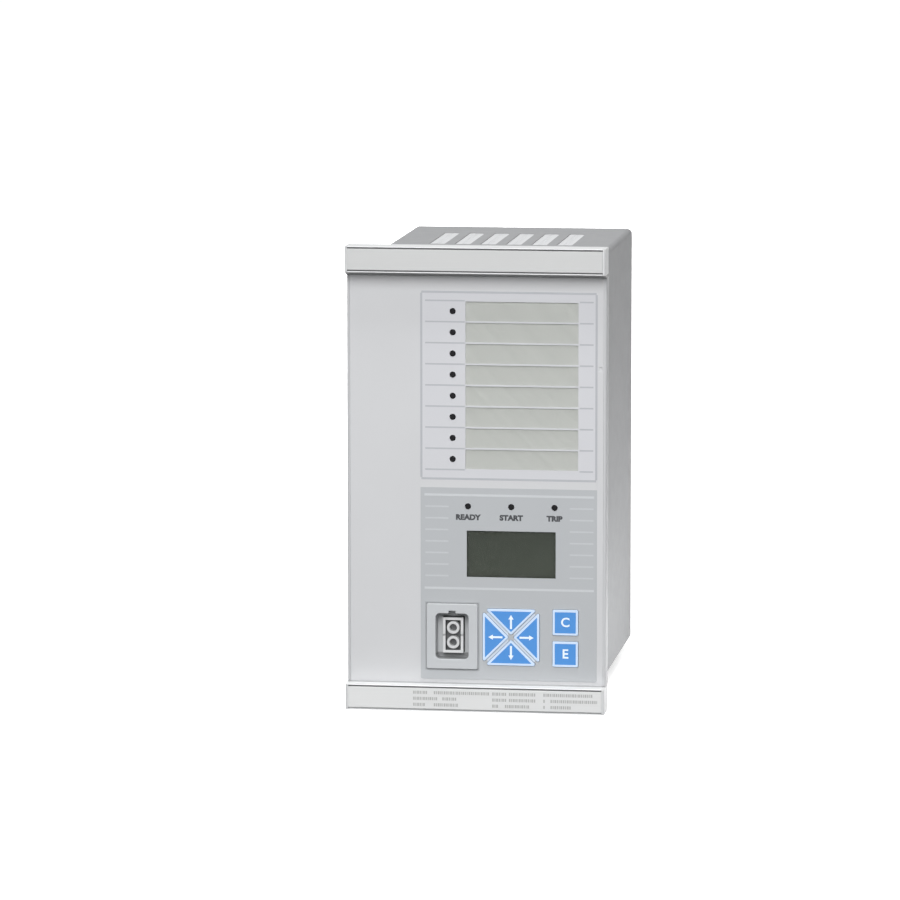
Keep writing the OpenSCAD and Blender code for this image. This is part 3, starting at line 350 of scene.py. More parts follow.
# Port: the recess tone is set for how light falls there, a painted light; the bottom of the recess and
# the insert's pocket carry painted shade
FRAME_TONE = tone(191, 194, 197)
RECESS_LIT_TONE = tone(192, 194, 196)
RECESS_FOOT_SHADE_TONE = tone(96, 97, 98)
FRAME_SKIN_TONE = tone(168, 171, 173)
INSERT_TONE = tone(216, 217, 218)
POCKET_SHADE_TONE = tone(96, 97, 99)
INSERT_SKIN_TONE = tone(120, 121, 122)
MASK_TONE = tone(18, 78, 46)
TRACK_TONE = tone(34, 110, 66)
CORE_DARK_TONE = tone(66, 60, 54)
CORE_LIGHT_TONE = tone(104, 98, 90)


# Finishes

def brushed_metal(name, colour, metallic, roughness, along=LINES_ALONG_X):
    """Satin metal with fine lines along one way of the piece."""
    look = Look(name, Metallic=metallic)
    lines = look.noise(scale=3, detail=4, stretch=along)
    cloud = look.noise(scale=18)
    look.feed(Base_Color=look.shades(lines * 0.7 + cloud * 0.3, colour, darkest=0.93, lightest=1.05))
    look.feed(Roughness=roughness - 0.06 + lines * 0.14)
    look.bump(lines, BRUSH_DEPTH)
    return look.material


def rail_metal(name, grooved):
    """Satin metal of the rails: a painted highlight on the ledge, a painted shadow where it meets the
    panel, painted shade on the underside of the lip and, on a rail's face, painted shade in the grooves.
    """
    look = Look(name, Metallic=0.15)
    _, y, z = look.axes()
    lines = look.noise(scale=3, detail=4, stretch=LINES_ALONG_X)
    cloud = look.noise(scale=18)
    shade = look.shades(lines * 0.7 + cloud * 0.3, RAIL_TONE, darkest=0.94, lightest=1.05)
    # Painted shadow on the ledge where it meets the panel, and a painted highlight on the rest of it
    ledge_shadow = look.step(y, foil_y - LEDGE_SHADOW_W, LEDGE_SHADOW_SOFT)
    ledge = look.between(z, rail_high.z - LEDGE_H, rail_high.z + LEDGE_H, LEDGE_SOFT)
    shade = look.mix(ledge * (1 - ledge_shadow) * 0.8, shade, LEDGE_HIGHLIGHT_TONE)
    shade = look.mix(ledge * ledge_shadow * 0.6, shade, LEDGE_SHADOW_TONE)
    # Painted shade on the underside of the top rail's lip
    under = look.between(z, top_rail_low.z - LEDGE_H, top_rail_low.z + LIP_H, LIP_SOFT)
    shade = look.mix(under * 0.85, shade, LIP_SHADE_TONE)
    # Painted shade in the grooves beside the strips, weaker in the groove under the bottom strip
    if grooved:
        deep = look.step(y, strip_low.y + GROOVE_DEEP, GROOVE_SOFT)
        lower = look.between(z, strip_low.z, strip_high.z + GROOVE_W, PRINT_SOFT)
        foot_shade = look.between(z, strip_low.z - GROOVE_W, strip_low.z, PRINT_SOFT)
        upper = look.between(z, top_strip_low.z - GROOVE_W, top_strip_high.z + GROOVE_W, PRINT_SOFT)
        shade = look.mix(deep * (lower * 0.9 + foot_shade * 0.45 + upper * 0.9), shade, GROOVE_SHADE_TONE)
    look.feed(Base_Color=shade)
    look.feed(Roughness=0.36 + lines * 0.14)
    look.bump(lines, BRUSH_DEPTH)
    return look.material


def fine_paint(name, colour):
    """Paint with a fine structure and a faint cloud in its colour."""
    look = Look(name, Specular_IOR_Level=0.2)
    skin = look.noise(scale=2400, detail=3)
    cloud = look.noise(scale=22)
    look.feed(Base_Color=look.shades(cloud * 0.6 + skin * 0.4, colour, darkest=0.965, lightest=1.03))
    look.feed(Roughness=0.41 + skin * 0.12)
    look.bump(skin, PAINT_DEPTH)
    return look.material


def moulded(name, colour, roughness=0.45, grain=3200, depth=SKIN_DEPTH):
    """Moulded plastic with a fine eroded skin."""
    look = Look(name)
    skin = look.noise(scale=grain)
    flow = look.noise(scale=40, detail=3)
    look.feed(Base_Color=look.shades(skin * 0.5 + flow * 0.5, colour, darkest=0.93, lightest=1.06))
    look.feed(Roughness=roughness - 0.06 + flow * 0.12)
    look.bump(skin, depth)
    return look.material


def zinc_coat(name, colour):
    """Steel sheet with a matt zinc coat: faint crystals, a fine grain and slow clouds."""
    look = Look(name, Metallic=0.1, Specular_IOR_Level=0.2)
    crystal = look.cells(scale=210, output="Color")
    grain = look.noise(scale=1500, detail=3)
    cloud = look.noise(scale=14, detail=3)
    pattern = crystal * 0.35 + grain * 0.3 + cloud * 0.35
    look.feed(Base_Color=look.shades(pattern, colour, darkest=0.90, lightest=1.08))
    look.feed(Roughness=0.46 + crystal * 0.10)
    look.bump(grain * 0.6 + crystal * 0.4, ZINC_DEPTH)
    return look.material


def plated_steel(name, colour, roughness=0.28):
    """Zinc-plated steel of screws and small fittings."""
    look = Look(name, Metallic=1.0)
    cloud = look.noise(scale=260, detail=3)
    fine = look.noise(scale=3000)
    look.feed(Base_Color=look.shades(cloud, colour, darkest=0.86, lightest=1.06))
    look.feed(Roughness=roughness + cloud * 0.10)
    look.bump(fine, PLATING_DEPTH)
    return look.material


def printed_foil():
    """Velvet foil in two printed fields, with bare margins in the panel's colour, pale bands between the
    arrow keys and a painted shadow round the port.
    """
    look = Look("printed_foil", Specular_IOR_Level=0.2)
    x, _, z = look.axes()
    grain = look.noise(scale=5200)
    cloud = look.noise(scale=16)
    edge = BORDER_IN + BORDER_W / 2
    legend = look.between(z, LEGEND_FOOT, foil_high.z - edge, PRINT_SOFT)
    legend = legend * look.between(x, foil_low.x + edge, foil_high.x - edge, PRINT_SOFT)
    control = 1 - look.step(z, CONTROL_TOP, PRINT_SOFT)
    colour = look.mix(legend, MARGIN_TONE, LEGEND_TONE)
    colour = look.mix(control, colour, CONTROL_TONE)
    aside, above = abs(x - pad_middle.x), abs(z - pad_middle.z)
    band = look.between(aside - above, -PAD_BAND, PAD_BAND, PRINT_SOFT)
    band = band * (1 - look.step(aside + above, PAD_REACH, PRINT_SOFT))
    band = band * look.step(aside, PAD_HEART, PRINT_SOFT)
    colour = look.mix(band, colour, PAD_TONE)
    # Painted shadow: a dim rim on the foil round the port's bezel
    port_middle, port_half = (port_low + port_high) / 2, (port_high - port_low) / 2
    beside, over = abs(x - port_middle.x) - port_half.x, abs(z - port_middle.z) - port_half.z
    rim = 1 - look.step(beside.larger(over), PORT_SHADOW_W / 2, PORT_SHADOW_W / 2)
    colour = look.mix(rim * 0.7, colour, PORT_SHADOW_TONE)
    shade = look.shades(grain * 0.5 + cloud * 0.5, WHITE, darkest=0.955, lightest=1.045)
    look.feed(Base_Color=look.mix(1.0, colour, shade, blend="MULTIPLY"))
    look.feed(Roughness=0.42 + grain * 0.12)
    look.bump(grain, FOIL_DEPTH)
    return look.material


def print_ink(name, colour):
    """Screen-printed ink, slightly uneven."""
    look = Look(name)
    cover = look.noise(scale=1600, detail=3)
    look.feed(Base_Color=look.shades(cover, colour, darkest=0.95, lightest=1.05))
    look.feed(Roughness=0.42 + cover * 0.15)
    return look.material


def clear_sheet(name, colour, alpha, roughness):
    """Clear plastic, faintly tinted."""
    look = Look(name, Alpha=alpha, Specular_IOR_Level=0.2)
    haze = look.noise(scale=60)
    look.feed(Base_Color=look.shades(haze, colour, darkest=0.96, lightest=1.04))
    look.feed(Roughness=roughness + haze * 0.06)
    return look.material


def legend_paper():
    """Plain legend paper with a fine fibre."""
    look = Look("legend_paper")
    fibre = look.noise(scale=900, detail=4, stretch=(0.35, 1, 1))
    cloud = look.noise(scale=12)
    look.feed(Base_Color=look.shades(fibre * 0.5 + cloud * 0.5, PAPER_TONE, darkest=0.95, lightest=1.04))
    look.feed(Roughness=0.7 + fibre * 0.15)
    look.bump(fibre, FIBRE_DEPTH)
    return look.material


def display_cell():
    """Unlit liquid crystal cell: dark green grey with a fine dot grid, and painted shade that darkens it
    towards its top and its edges.
    """
    look = Look("display_cell", Specular_IOR_Level=0.2)
    x, _, z = look.axes()
    middle = (display_low + display_high) / 2
    half = (display_high - display_low) / 2
    (inset_x, soft_x), (inset_z, soft_z) = CELL_SHADE_X, CELL_SHADE_Z
    # Painted shade, darker towards the cell's edges and towards its top
    edge_shade_x = look.step(abs(x - middle.x), half.x - inset_x, soft_x)
    edge_shade_z = look.step(abs(z - middle.z), half.z - inset_z, soft_z)
    rise = look.step(z, middle.z, half.z)
    dots = look.add("ShaderNodeTexChecker", None, {"Vector": look.place, "Scale": 1900.0}, "Fac")
    colour = look.mix(rise, CELL_LOW_TONE, CELL_TOP_SHADE_TONE)
    colour = look.mix(dots * 0.25, colour, CELL_DOT_TONE)
    colour = look.mix(edge_shade_x * 0.45, colour, CELL_EDGE_SHADE_TONE)
    look.feed(Base_Color=look.mix(edge_shade_z * 0.45, colour, CELL_EDGE_SHADE_TONE))
    look.feed(Roughness=0.30 + dots * 0.06)
    return look.material


def lamp_lens():
    """Dark lens of an unlit lamp, with a painted highlight that makes it a little lighter at its tip."""
    look = Look("lamp_lens", Specular_IOR_Level=0.08)
    _, y, _ = look.axes()
    cloud = look.noise(scale=700)
    # Painted highlight at the tip; the random cloud mixes in the same lighter tone
    depth, soft = LENS_HIGHLIGHT
    tip = 1 - look.step(y, status_low.y + depth, soft)
    look.feed(Base_Color=look.mix(tip * 0.5 + cloud * 0.3, LENS_TONE, LENS_HIGHLIGHT_AND_CLOUD_TONE))
    look.feed(Roughness=0.34 + cloud * 0.12)
    return look.material


def port_frame():
    """Moulded frame of the optical port: its recess has a tone set for how light falls there, a painted
    light, and painted shade darkens the bottom of the recess.
    """
    look = Look("port_frame")
    _, y, z = look.axes()
    skin = look.noise(scale=1800)
    flow = look.noise(scale=40, detail=3)
    (inset, inset_soft), (drop, drop_soft) = RECESS_DEPTH, RECESS_FOOT
    # The recess tone is painted light, set for how light falls there; the bottom of the recess gets
    # painted shade
    depth = look.step(y, port_low.y + inset, inset_soft)
    foot_shade = 1 - look.step(z, receptacle_low.z - drop, drop_soft)
    colour = look.mix(depth, FRAME_TONE, RECESS_LIT_TONE)
    colour = look.mix(depth * foot_shade * 0.8, colour, RECESS_FOOT_SHADE_TONE)
    look.feed(Base_Color=look.mix(skin * 0.15 + flow * 0.15, colour, FRAME_SKIN_TONE))
    look.feed(Roughness=0.44 + flow * 0.12)
    look.bump(skin, FRAME_DEPTH)
    return look.material


def port_insert():
    """Plastic of the optical insert: pale rims, and painted shade that darkens the depth of its pocket.
    """
    look = Look("port_insert")
    _, y, _ = look.axes()
    skin = look.noise(scale=2600)
    inset, soft = POCKET_DEPTH
    # Painted shade in the depth of the pocket
    depth = look.step(y, receptacle_low.y + inset, soft)
    colour = look.mix(depth, INSERT_TONE, POCKET_SHADE_TONE)
    look.feed(Base_Color=look.mix(skin * 0.10, colour, INSERT_SKIN_TONE))
    look.feed(Roughness=0.40 + skin * 0.12)
    look.bump(skin, INSERT_DEPTH)
    return look.material


def solder_mask():
    """Green board with faint tracks under its mask."""
    look = Look("solder_mask", Coat_Roughness=0.25)
    tracks = look.step(look.cells(scale=170), edge=0.0022, soft=0.0003)
    cloud = look.noise(scale=60)
    look.feed(Base_Color=look.mix(tracks * 0.6 + cloud * 0.4, MASK_TONE, TRACK_TONE))
    look.feed(Roughness=0.38 + cloud * 0.12)
    look.feed(Coat_Weight=0.25 + cloud * 0.2)
    look.bump(tracks, TRACK_DEPTH)
    return look.material


def wound_core():
    """Iron laminations, as lines across the core."""
    look = Look("wound_core", Metallic=0.3)
    lines = look.noise(scale=5, stretch=(4, 320, 4))
    look.feed(Base_Color=look.mix(lines, CORE_DARK_TONE, CORE_LIGHT_TONE))
    look.feed(Roughness=0.5 + lines * 0.2)
    look.bump(lines, LAMINATION_DEPTH)
    return look.material


FINISHES = {
    "rail": rail_metal("rail_metal", grooved=True),
    "cap": rail_metal("cap_metal", grooved=False),
    # The two strips are one metal in two tones set for how light falls on them: the top one darker, a
    # painted shade, the bottom one lighter, a painted light
    "top_strip": brushed_metal("top_strip_painted_dim_metal", tone(186, 187, 187), metallic=0.12, roughness=0.42),
    "strip": brushed_metal("strip_metal", tone(210, 211, 211), metallic=0.12, roughness=0.42),
    "panel": fine_paint("panel_paint", tone(203, 204, 206)),
    "foil": printed_foil(),
    "grey_ink": print_ink("grey_ink", tone(173, 175, 180)),
    "white_ink": print_ink("white_ink", tone(195, 198, 201)),
    "pale_ink": print_ink("pale_ink", tone(189, 192, 195)),
    "dark_ink": print_ink("dark_ink", tone(42, 44, 48)),
    "faint_ink": print_ink("faint_ink", tone(168, 169, 168)),
    "film": clear_sheet("legend_clear", tone(206, 209, 202), alpha=0.16, roughness=0.22),
    "window": clear_sheet("display_clear", tone(96, 102, 92), alpha=0.07, roughness=0.12),
    "paper": legend_paper(),
    "cell": display_cell(),
    "lens": lamp_lens(),
    "key_rim": moulded("key_rim", tone(203, 222, 246), roughness=0.42),
    "key_face": moulded("key_face", tone(70, 138, 209), roughness=0.42),
    "key_sign": print_ink("key_sign", tone(232, 242, 253)),
    "bezel": port_frame(),
    "insert": port_insert(),
    "ferrule": moulded("ferrule_plastic", tone(206, 207, 208), roughness=0.35),
    "case": zinc_coat("zinc_coat", tone(143, 144, 146)),
    "screen": fine_paint("screen_sheet", tone(206, 207, 209)),
    "steel": plated_steel("plated_steel", tone(205, 206, 208)),
    "plate": zinc_coat("plate_coat", tone(196, 198, 200)),
    "brass": plated_steel("jack_plate", tone(214, 206, 180), roughness=0.25),
    "board": solder_mask(),
    "black": moulded("black_plastic", tone(38, 38, 41), roughness=0.5),
    "potting": moulded("potting_resin", tone(34, 34, 36), roughness=0.3, grain=300, depth=RESIN_DEPTH),
    "core": wound_core(),
    "can": moulded("capacitor_sleeve", tone(36, 42, 72), roughness=0.3, grain=900, depth=SLEEVE_DEPTH),
    "sink": brushed_metal("sink_metal", tone(176, 178, 180), metallic=0.9, roughness=0.45,
                          along=LINES_ALONG_Y),
    "terminal": moulded("terminal_plastic", tone(70, 73, 76), roughness=0.5),
    "plug": moulded("plug_plastic", tone(52, 116, 70)),
}


# Making of pieces

def keep(bm, name, looks, body=RELAY):
    """Turns a bmesh into a piece that moves with a body, with one material for each look given."""
    mesh = bpy.data.meshes.new(name)
    for edge in bm.edges:
        edge.smooth = len(edge.link_faces) != 2 or edge.calc_face_angle(0) < CREASE_ANGLE
    for face in bm.faces:
        face.smooth = True
    bm.to_mesh(mesh)
    bm.free()
    piece = bpy.data.objects.new(name, mesh)
    bpy.context.scene.collection.objects.link(piece)
    for look in looks:
        mesh.materials.append(FINISHES[look])
    weighted = piece.modifiers.new("even_shading", "WEIGHTED_NORMAL")
    weighted.keep_sharp = True
    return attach(piece, body)


def whole_copy(node):
    """Copy of a node's mesh with its triangles welded and its flat faces joined."""
    bm = bmesh.new()
    bm.from_mesh(frame["nodes"][node].data)
    bmesh.ops.remove_doubles(bm, verts=bm.verts, dist=WELD)
    bmesh.ops.dissolve_limit(bm, angle_limit=FLAT_ANGLE, verts=bm.verts, edges=bm.edges)
    return bm


def front_of(bm):
    """How far to the front a bmesh reaches."""
    return min(v.co.y for v in bm.verts)


def round_edges(bm, edges, width, segments):
    bmesh.ops.bevel(bm, geom=edges, offset=width, offset_type="OFFSET", segments=segments, profile=0.5,
                    affect="EDGES", clamp_overlap=False, material=-1)


def softened(node, look, width, segments=2, sink=0):
    """Piece in a node's place and form, with its sharp edges rounded and its front set back by sink."""
    bm = whole_copy(node)
    front_y = front_of(bm)
    front = [v for v in bm.verts if v.co.y < front_y + WELD]
    bmesh.ops.translate(bm, verts=front, vec=(0, sink, 0))
    sharp = [e for e in bm.edges if len(e.link_faces) == 2 and e.calc_face_angle(0) > SHARP_ANGLE]
    round_edges(bm, sharp, width, segments)
    piece = keep(bm, node + "_finished", [look], frame["nodes"][node]["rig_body"])
    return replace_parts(piece, node)


def dress(node, look):
    """Gives a node that keeps its own mesh its finish."""
    materials = frame["nodes"][node].data.materials
    materials.clear()
    materials.append(FINISHES[look])


def block(bm, xs, zs, face_y):
    """Adds a block of print on a face, between two places in x and in z."""
    centre = Vector(((xs[0] + xs[1]) / 2, face_y - PRINT_RISE / 2, (zs[0] + zs[1]) / 2))
    size = Matrix.Diagonal((xs[1] - xs[0], PRINT_RISE, zs[1] - zs[0], 1))
    bmesh.ops.create_cube(bm, size=1, matrix=Matrix.Translation(centre) @ size)


def bar(bm, span, z, width, face_y):
    """Adds a level bar of print on a face."""
    block(bm, span, (z - width / 2, z + width / 2), face_y)


def words(bm, text, size, centre, face_y, rise, weight, widen=1.0):
    """Adds upright lettering on a face, centred on a place in x and z."""
    curve = bpy.data.curves.new("lettering", "FONT")
    curve.body = text
    curve.size = size
    curve.align_x = "CENTER"
    curve.align_y = "CENTER"
    curve.offset = weight
    curve.extrude = rise / 2
    curve.resolution_u = LETTERING_STEPS
    holder = bpy.data.objects.new("lettering", curve)
    bpy.context.scene.collection.objects.link(holder)
    mesh = bpy.data.meshes.new_from_object(holder.evaluated_get(bpy.context.evaluated_depsgraph_get()))
    place = Vector((centre[0], face_y - rise / 2, centre[1]))
    upright = Matrix.Rotation(math.radians(90), 4, "X")
    mesh.transform(Matrix.Translation(place) @ upright @ Matrix.Diagonal((widen, 1, 1, 1)))
    bm.from_mesh(mesh)
    bpy.data.objects.remove(holder)
    bpy.data.meshes.remove(mesh)
    bpy.data.curves.remove(curve)


# Rails

def rails():
    for node in ("top_rail", "bottom_rail"):
        softened(node, "rail", RAIL_EDGE, FINE_ROUND)
    softened("rail_end_caps", "cap", RAIL_EDGE, FINE_ROUND)
    softened("top_rail_strip", "top_strip", STRIP_EDGE)
    softened("bottom_rail_strip", "strip", STRIP_EDGE, sink=PRINT_RISE)


def rating_bars():
    """Lines of small blocks, without letters, where the bottom strip carries fine print."""
    bm = bmesh.new()
    middle = (strip_low.z + strip_high.z) / 2
    for line, spans in enumerate(RATING_LINES):
        z = middle + ((len(RATING_LINES) - 1) / 2 - line) * RATING_STEP
        for left, right in spans:
            x = left * MM
            count = 0
            while x < right * MM:
                wide = RATING_BLOCKS[count % len(RATING_BLOCKS)] * MM
                bar(bm, (x, x + wide), z, RATING_H, strip_low.y + PRINT_RISE)
                x += wide + RATING_GAP
                count += 1
    keep(bm, "rating_bars", ["faint_ink"])


# Panel and print

FRONT_LOOKS = {
    "overlay_foil": "foil",
    "legend_film": "film",
    "legend_sheet": "paper",
    "display_window": "window",
    "display_glass": "cell",
}


def panel():
    softened("front_panel", "panel", PANEL_EDGE)
    for node, look in FRONT_LOOKS.items():
        dress(node, look)


def row_zs():
    """Heights of the lines between the legend rows, from the lamps' places."""
    lamp_r = (lamps_high.x - lamps_low.x) / 2
    pitch = (lamps_high.z - lamps_low.z - 2 * lamp_r) / (ROW_COUNT - 1)
    lowest = lamps_low.z + lamp_r - pitch / 2
    return [lowest + i * pitch for i in range(ROW_COUNT + 1)]


def legend_lines():
    """Border of the legend field and the lines between its rows."""
    bm = bmesh.new()
    left, right = foil_low.x + BORDER_IN, foil_high.x - BORDER_IN
    top = foil_high.z - BORDER_IN
    half = BORDER_W / 2
    for z in (LEGEND_FOOT, top):
        bar(bm, (left, right), z, BORDER_W, foil_y)
    for x in (left, right):
        block(bm, (x - half, x + half), (LEGEND_FOOT + half, top - half), foil_y)
    for z in row_zs():
        for span in (ROW_LEFT, ROW_RIGHT):
            bar(bm, span, z, ROW_LINE_W, foil_y)
    keep(bm, "legend_lines", ["grey_ink"])


def control_lines():
    """Two rules across the control field and the stripes beside the display."""
    bm = bmesh.new()
    for z in RULE_ZS:
        bar(bm, RULE_SPAN, z, RULE_W, foil_y)
    keep(bm, "control_rules", ["white_ink"])
    bm = bmesh.new()
    for i in range(STRIPE_COUNT):
        for span in STRIPE_SPANS:
            bar(bm, span, STRIPE_TOP - i * STRIPE_STEP, STRIPE_W, foil_y)
    keep(bm, "control_stripes", ["pale_ink"])


def lamp_words():
    """One word under each status lamp."""
    bm = bmesh.new()
    lamp_r = (status_high.z - status_low.z) / 2
    lamp_z = (status_low.z + status_high.z) / 2
    first, last = status_low.x + lamp_r, status_high.x - lamp_r
    for i, word in enumerate(LAMP_WORDS):
        x = first + (last - first) * i / (len(LAMP_WORDS) - 1)
        words(bm, word, WORD_SIZE, (x, lamp_z - WORD_DROP), foil_y, PRINT_RISE, WORD_WEIGHT, WORD_WIDEN)
    keep(bm, "lamp_words", ["dark_ink"])


# Lamps, keys and port

def lamps():
    for node in ("indicator_lamps", "status_lamps"):
        softened(node, "lens", LAMP_EDGE, FINE_ROUND)


def front_face(bm, front_y):
    """Largest face that looks to the front at the very front of a piece."""
    facing = [f for f in bm.faces if f.normal.y < FACES_FRONT]
    foremost = [f for f in facing if f.calc_center_median().y < front_y + WELD]
    return max(foremost, key=lambda f: f.calc_area())


def key_cap(node):
    """Makes a key with a rounded front edge, a pale rim and a dished blue face; returns the face's y."""
    bm = whole_copy(node)
    front_y = front_of(bm)
    front = front_face(bm, front_y)
    outer = list(front.edges)
    bmesh.ops.inset_individual(bm, faces=[front], thickness=KEY_CORNER, use_even_offset=True)
    bmesh.ops.remove_doubles(bm, verts=front.verts, dist=KEY_MERGE)
    front = front_face(bm, front_y)
    bmesh.ops.inset_individual(bm, faces=[front], thickness=KEY_BORDER - KEY_CORNER, depth=-KEY_DISH,
                               use_even_offset=True)
    front.material_index = 1
    round_edges(bm, outer, KEY_EDGE, FINE_ROUND)
    piece = keep(bm, node + "_cap", ["key_rim", "key_face"], node)
    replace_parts(piece, node)
    return front_y + KEY_DISH


def arrow_sign(node, turn, face_y):
    """Arrow that points away from the middle of the pad."""
    inner, tip = ARROW_REACH
    head_w, head_l = ARROW_HEAD
    neck = tip - head_l
    half = [(ARROW_SHAFT / 2, inner), (ARROW_SHAFT / 2, neck), (head_w / 2, neck)]
    outline = half + [(0, tip)] + [(-x, z) for x, z in reversed(half)]
    bm = bmesh.new()
    face = bm.faces.new([bm.verts.new((x, 0, z)) for x, z in outline])
    face.normal_update()
    front = bmesh.ops.extrude_face_region(bm, geom=[face])
    moved = [v for v in front["geom"] if isinstance(v, bmesh.types.BMVert)]
    bmesh.ops.translate(bm, verts=moved, vec=(0, -SIGN_RISE, 0))
    bmesh.ops.recalc_face_normals(bm, faces=bm.faces)
    place = Matrix.Translation((pad_middle.x, face_y, pad_middle.z))
    turned = Matrix.Rotation(-math.radians(turn), 4, "Y")
    bmesh.ops.transform(bm, matrix=place @ turned, verts=bm.verts)
    keep(bm, node + "_arrow", ["key_sign"], node)


def letter_sign(node, letter, face_y):
    """Letter in the middle of a key."""
    key_low, key_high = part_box(node)
    middle = (key_low + key_high) / 2
    bm = bmesh.new()
    words(bm, letter, LETTER_SIZE, (middle.x, middle.z), face_y, SIGN_RISE, LETTER_WEIGHT)
    keep(bm, node + "_letter", ["key_sign"], node)


def keys():
    for node, turn in ARROW_KEYS.items():
        arrow_sign(node, turn, key_cap(node))
    for node, letter in LETTER_KEYS.items():
        letter_sign(node, letter, key_cap(node))


def port():
    softened("port_bezel", "bezel", BEZEL_EDGE, FINE_ROUND)
    softened("port_receptacle", "insert", RECEPTACLE_EDGE)
    softened("port_ferrules", "ferrule", FERRULE_EDGE, FINE_ROUND)


# Case and rear

# Softened pieces at the rear: their finish and the radius of their edges
REAR_PIECES = {
    "measuring_terminals": ("terminal", 0.3 * MM),
    "plug_headers": ("plug", 0.25 * MM),
    "terminal_plugs": ("plug", 0.2 * MM),
    "serial_port": ("steel", 0.2 * MM),
    "earth_screw": ("steel", 0.3 * MM),
    "rear_cover_screws": ("steel", 0.25 * MM),
    "measuring_screws": ("steel", 0.2 * MM),
}


def case():
    for node in ("case_shell", "case_collar", "rear_cover"):
        softened(node, "case", CASE_EDGE)
    dress("vent_screens", "screen")
    dress("carrier_plate", "plate")


def rear():
    for node, (look, edge) in REAR_PIECES.items():
        softened(node, look, edge)
    for node in ("plug_screws", "earth_washer"):
        dress(node, "steel")
    dress("serial_jack_screws", "brass")


# What lies inside

INNER_LOOKS = {
    "steel": ("rail_screws", "collar_screws", "board_spacers", "board_screws", "backplane_posts"),
    "plate": ("display_module",),
    "board": ("operator_board", "backplane_board", "transformer_card", "power_card", "processor_card"),
    "black": ("key_switches", "backplane_connectors", "link_connector", "card_guides", "output_relays",
              "processor_chips"),
    "potting": ("current_transformers", "voltage_transformers"),
    "core": ("supply_transformer",),
    "can": ("filter_capacitors",),
    "sink": ("heat_sink",),
}


def inside():
    for look, nodes in INNER_LOOKS.items():
        for node in nodes:
            dress(node, look)


# Studio, in metres and watts

CAMERA_YAW = math.radians(7.63)
CAMERA_PITCH = math.radians(8.02)
CAMERA_DISTANCE = 3.1668
CAMERA_SENSOR = 36
CAMERA_LENS = 223.5
CAMERA_SHIFT = (-0.027, 0.035)
CAMERA_REACH = 50
LAMP_TARGET = (0, 0, 0.13)
AMBIENT = 0.085
FLOOR_SIZE = 40
FLOOR_NEAR = 0.5
FLOOR_TONE = (0.12, 0.12, 0.12, 1)
FLOOR_GLOW = ((0.6, 0.6, 0.6, 1), (0.93, 0.93, 0.93, 1))
FLOOR_SHADE = (0.95, 0.95, 0.95, 1)
SEEN_RAYS = ("Is Camera Ray", "Is Glossy Ray", "Is Transmission Ray")


def aim(thing, place, target):
    thing.location = place
    thing.rotation_euler = (Vector(target) - Vector(place)).to_track_quat("-Z", "Y").to_euler()
    bpy.context.scene.collection.objects.link(thing)


def camera():
    data = bpy.data.cameras.new("camera")
    data.sensor_width = CAMERA_SENSOR
    data.lens = CAMERA_LENS
    data.shift_x, data.shift_y = CAMERA_SHIFT
    data.clip_end = CAMERA_REACH
    low, high = cad_box
    target = Vector(((low.x + high.x) / 2, low.y, (low.z + high.z) / 2))
    level = math.cos(CAMERA_PITCH)
    back = Vector((math.sin(CAMERA_YAW) * level, -math.cos(CAMERA_YAW) * level, math.sin(CAMERA_PITCH)))
    holder = bpy.data.objects.new("camera", data)
    aim(holder, target + back * CAMERA_DISTANCE, target)
    bpy.context.scene.camera = holder


def lamp_panel(name, place, size, power, target=LAMP_TARGET, glint=True):
    """Area lamp aimed at a point; without glint it lights a surface and isn't mirrored in it."""
    data = bpy.data.lights.new(name, "AREA")
    data.shape = "RECTANGLE"
    data.size, data.size_y = size
    data.energy = power
    lamp = bpy.data.objects.new(name, data)
    lamp.visible_glossy = glint
    aim(lamp, place, target)


def seen(nodes):
    """1 for rays that show the backdrop: to the camera, in a mirror or through glass; else 0."""
    camera_ray, *other_rays = [nodes.add("ShaderNodeLightPath", output=ray) for ray in SEEN_RAYS]
    shown = camera_ray
    for ray in other_rays:
        shown = shown.larger(ray)
    return shown


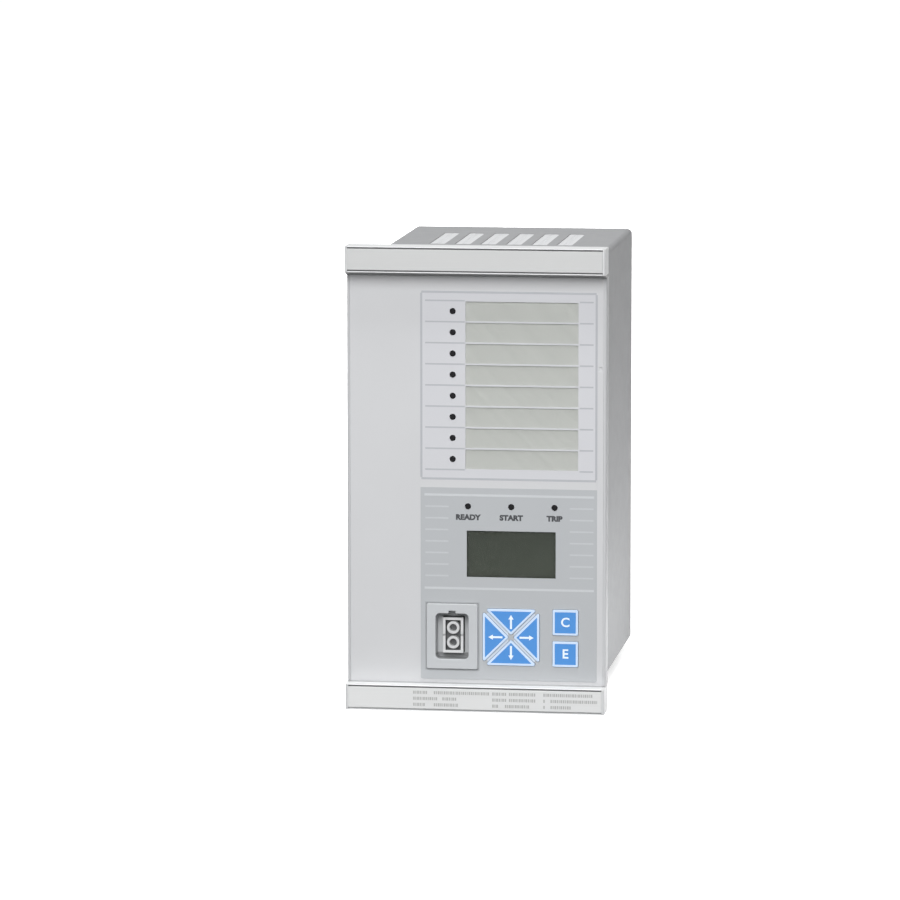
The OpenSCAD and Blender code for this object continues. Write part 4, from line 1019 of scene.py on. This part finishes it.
def floor():
    """Floor that is seen nearly white and keeps the object's shadow, but throws little light back."""
    look = Look("floor", Base_Color=FLOOR_TONE, Roughness=0.9)
    away = look.add("ShaderNodeVectorMath", {"operation": "LENGTH"}, {0: look.place}, "Value")
    far = look.step(away, FLOOR_NEAR, FLOOR_NEAR)
    glow = look.add("ShaderNodeEmission", None, {"Color": look.mix(far, *FLOOR_GLOW)})
    shade = look.add("ShaderNodeBsdfDiffuse", None, {"Color": FLOOR_SHADE})
    both = look.add("ShaderNodeAddShader", None, {0: glow, 1: shade})
    plain = Wire(look, look.shader.outputs[0])
    chosen = look.add("ShaderNodeMixShader", None, {0: seen(look), 1: plain, 2: both})
    look.join(chosen, look.tree.nodes["Material Output"].inputs["Surface"])
    bm = bmesh.new()
    bmesh.ops.create_grid(bm, x_segments=1, y_segments=1, size=FLOOR_SIZE / 2)
    mesh = bpy.data.meshes.new("floor")
    bm.to_mesh(mesh)
    bm.free()
    mesh.materials.append(look.material)
    plane = bpy.data.objects.new("floor", mesh)
    bpy.context.scene.collection.objects.link(plane)


def world():
    """White where it is seen, an even grey light elsewhere."""
    sky = bpy.data.worlds.new("studio")
    sky.use_nodes = True
    nodes = Nodes(sky.node_tree)
    strength = nodes.add("ShaderNodeMapRange", None, {"Value": seen(nodes), "To Min": AMBIENT})
    backdrop = nodes.tree.nodes["Background"]
    backdrop.inputs["Color"].default_value = (1, 1, 1, 1)
    nodes.join(strength, backdrop.inputs["Strength"])
    bpy.context.scene.world = sky


def studio():
    camera()
    world()
    floor()
    lamp_panel("key_light", place=(0.2, -3.27, 2.18), size=(2.4, 2.5), power=155)
    lamp_panel("over_light", place=(0, -0.42, 1.75), size=(0.9, 0.35), power=12, target=(0, -0.1, 0.13))
    lamp_panel("rear_light", place=(-1.7, 2.6, 0.5), size=(1.8, 0.9), power=95, glint=False)
    lamp_panel("side_light", place=(0.2, 0.03, 0.015), size=(0.2, 0.03), power=0.2,
               target=(0.06, 0.03, 0.03))
    bpy.context.scene.view_settings.view_transform = "Standard"


studio()
rails()
rating_bars()
panel()
legend_lines()
control_lines()
lamp_words()
lamps()
keys()
port()
case()
rear()
inside()
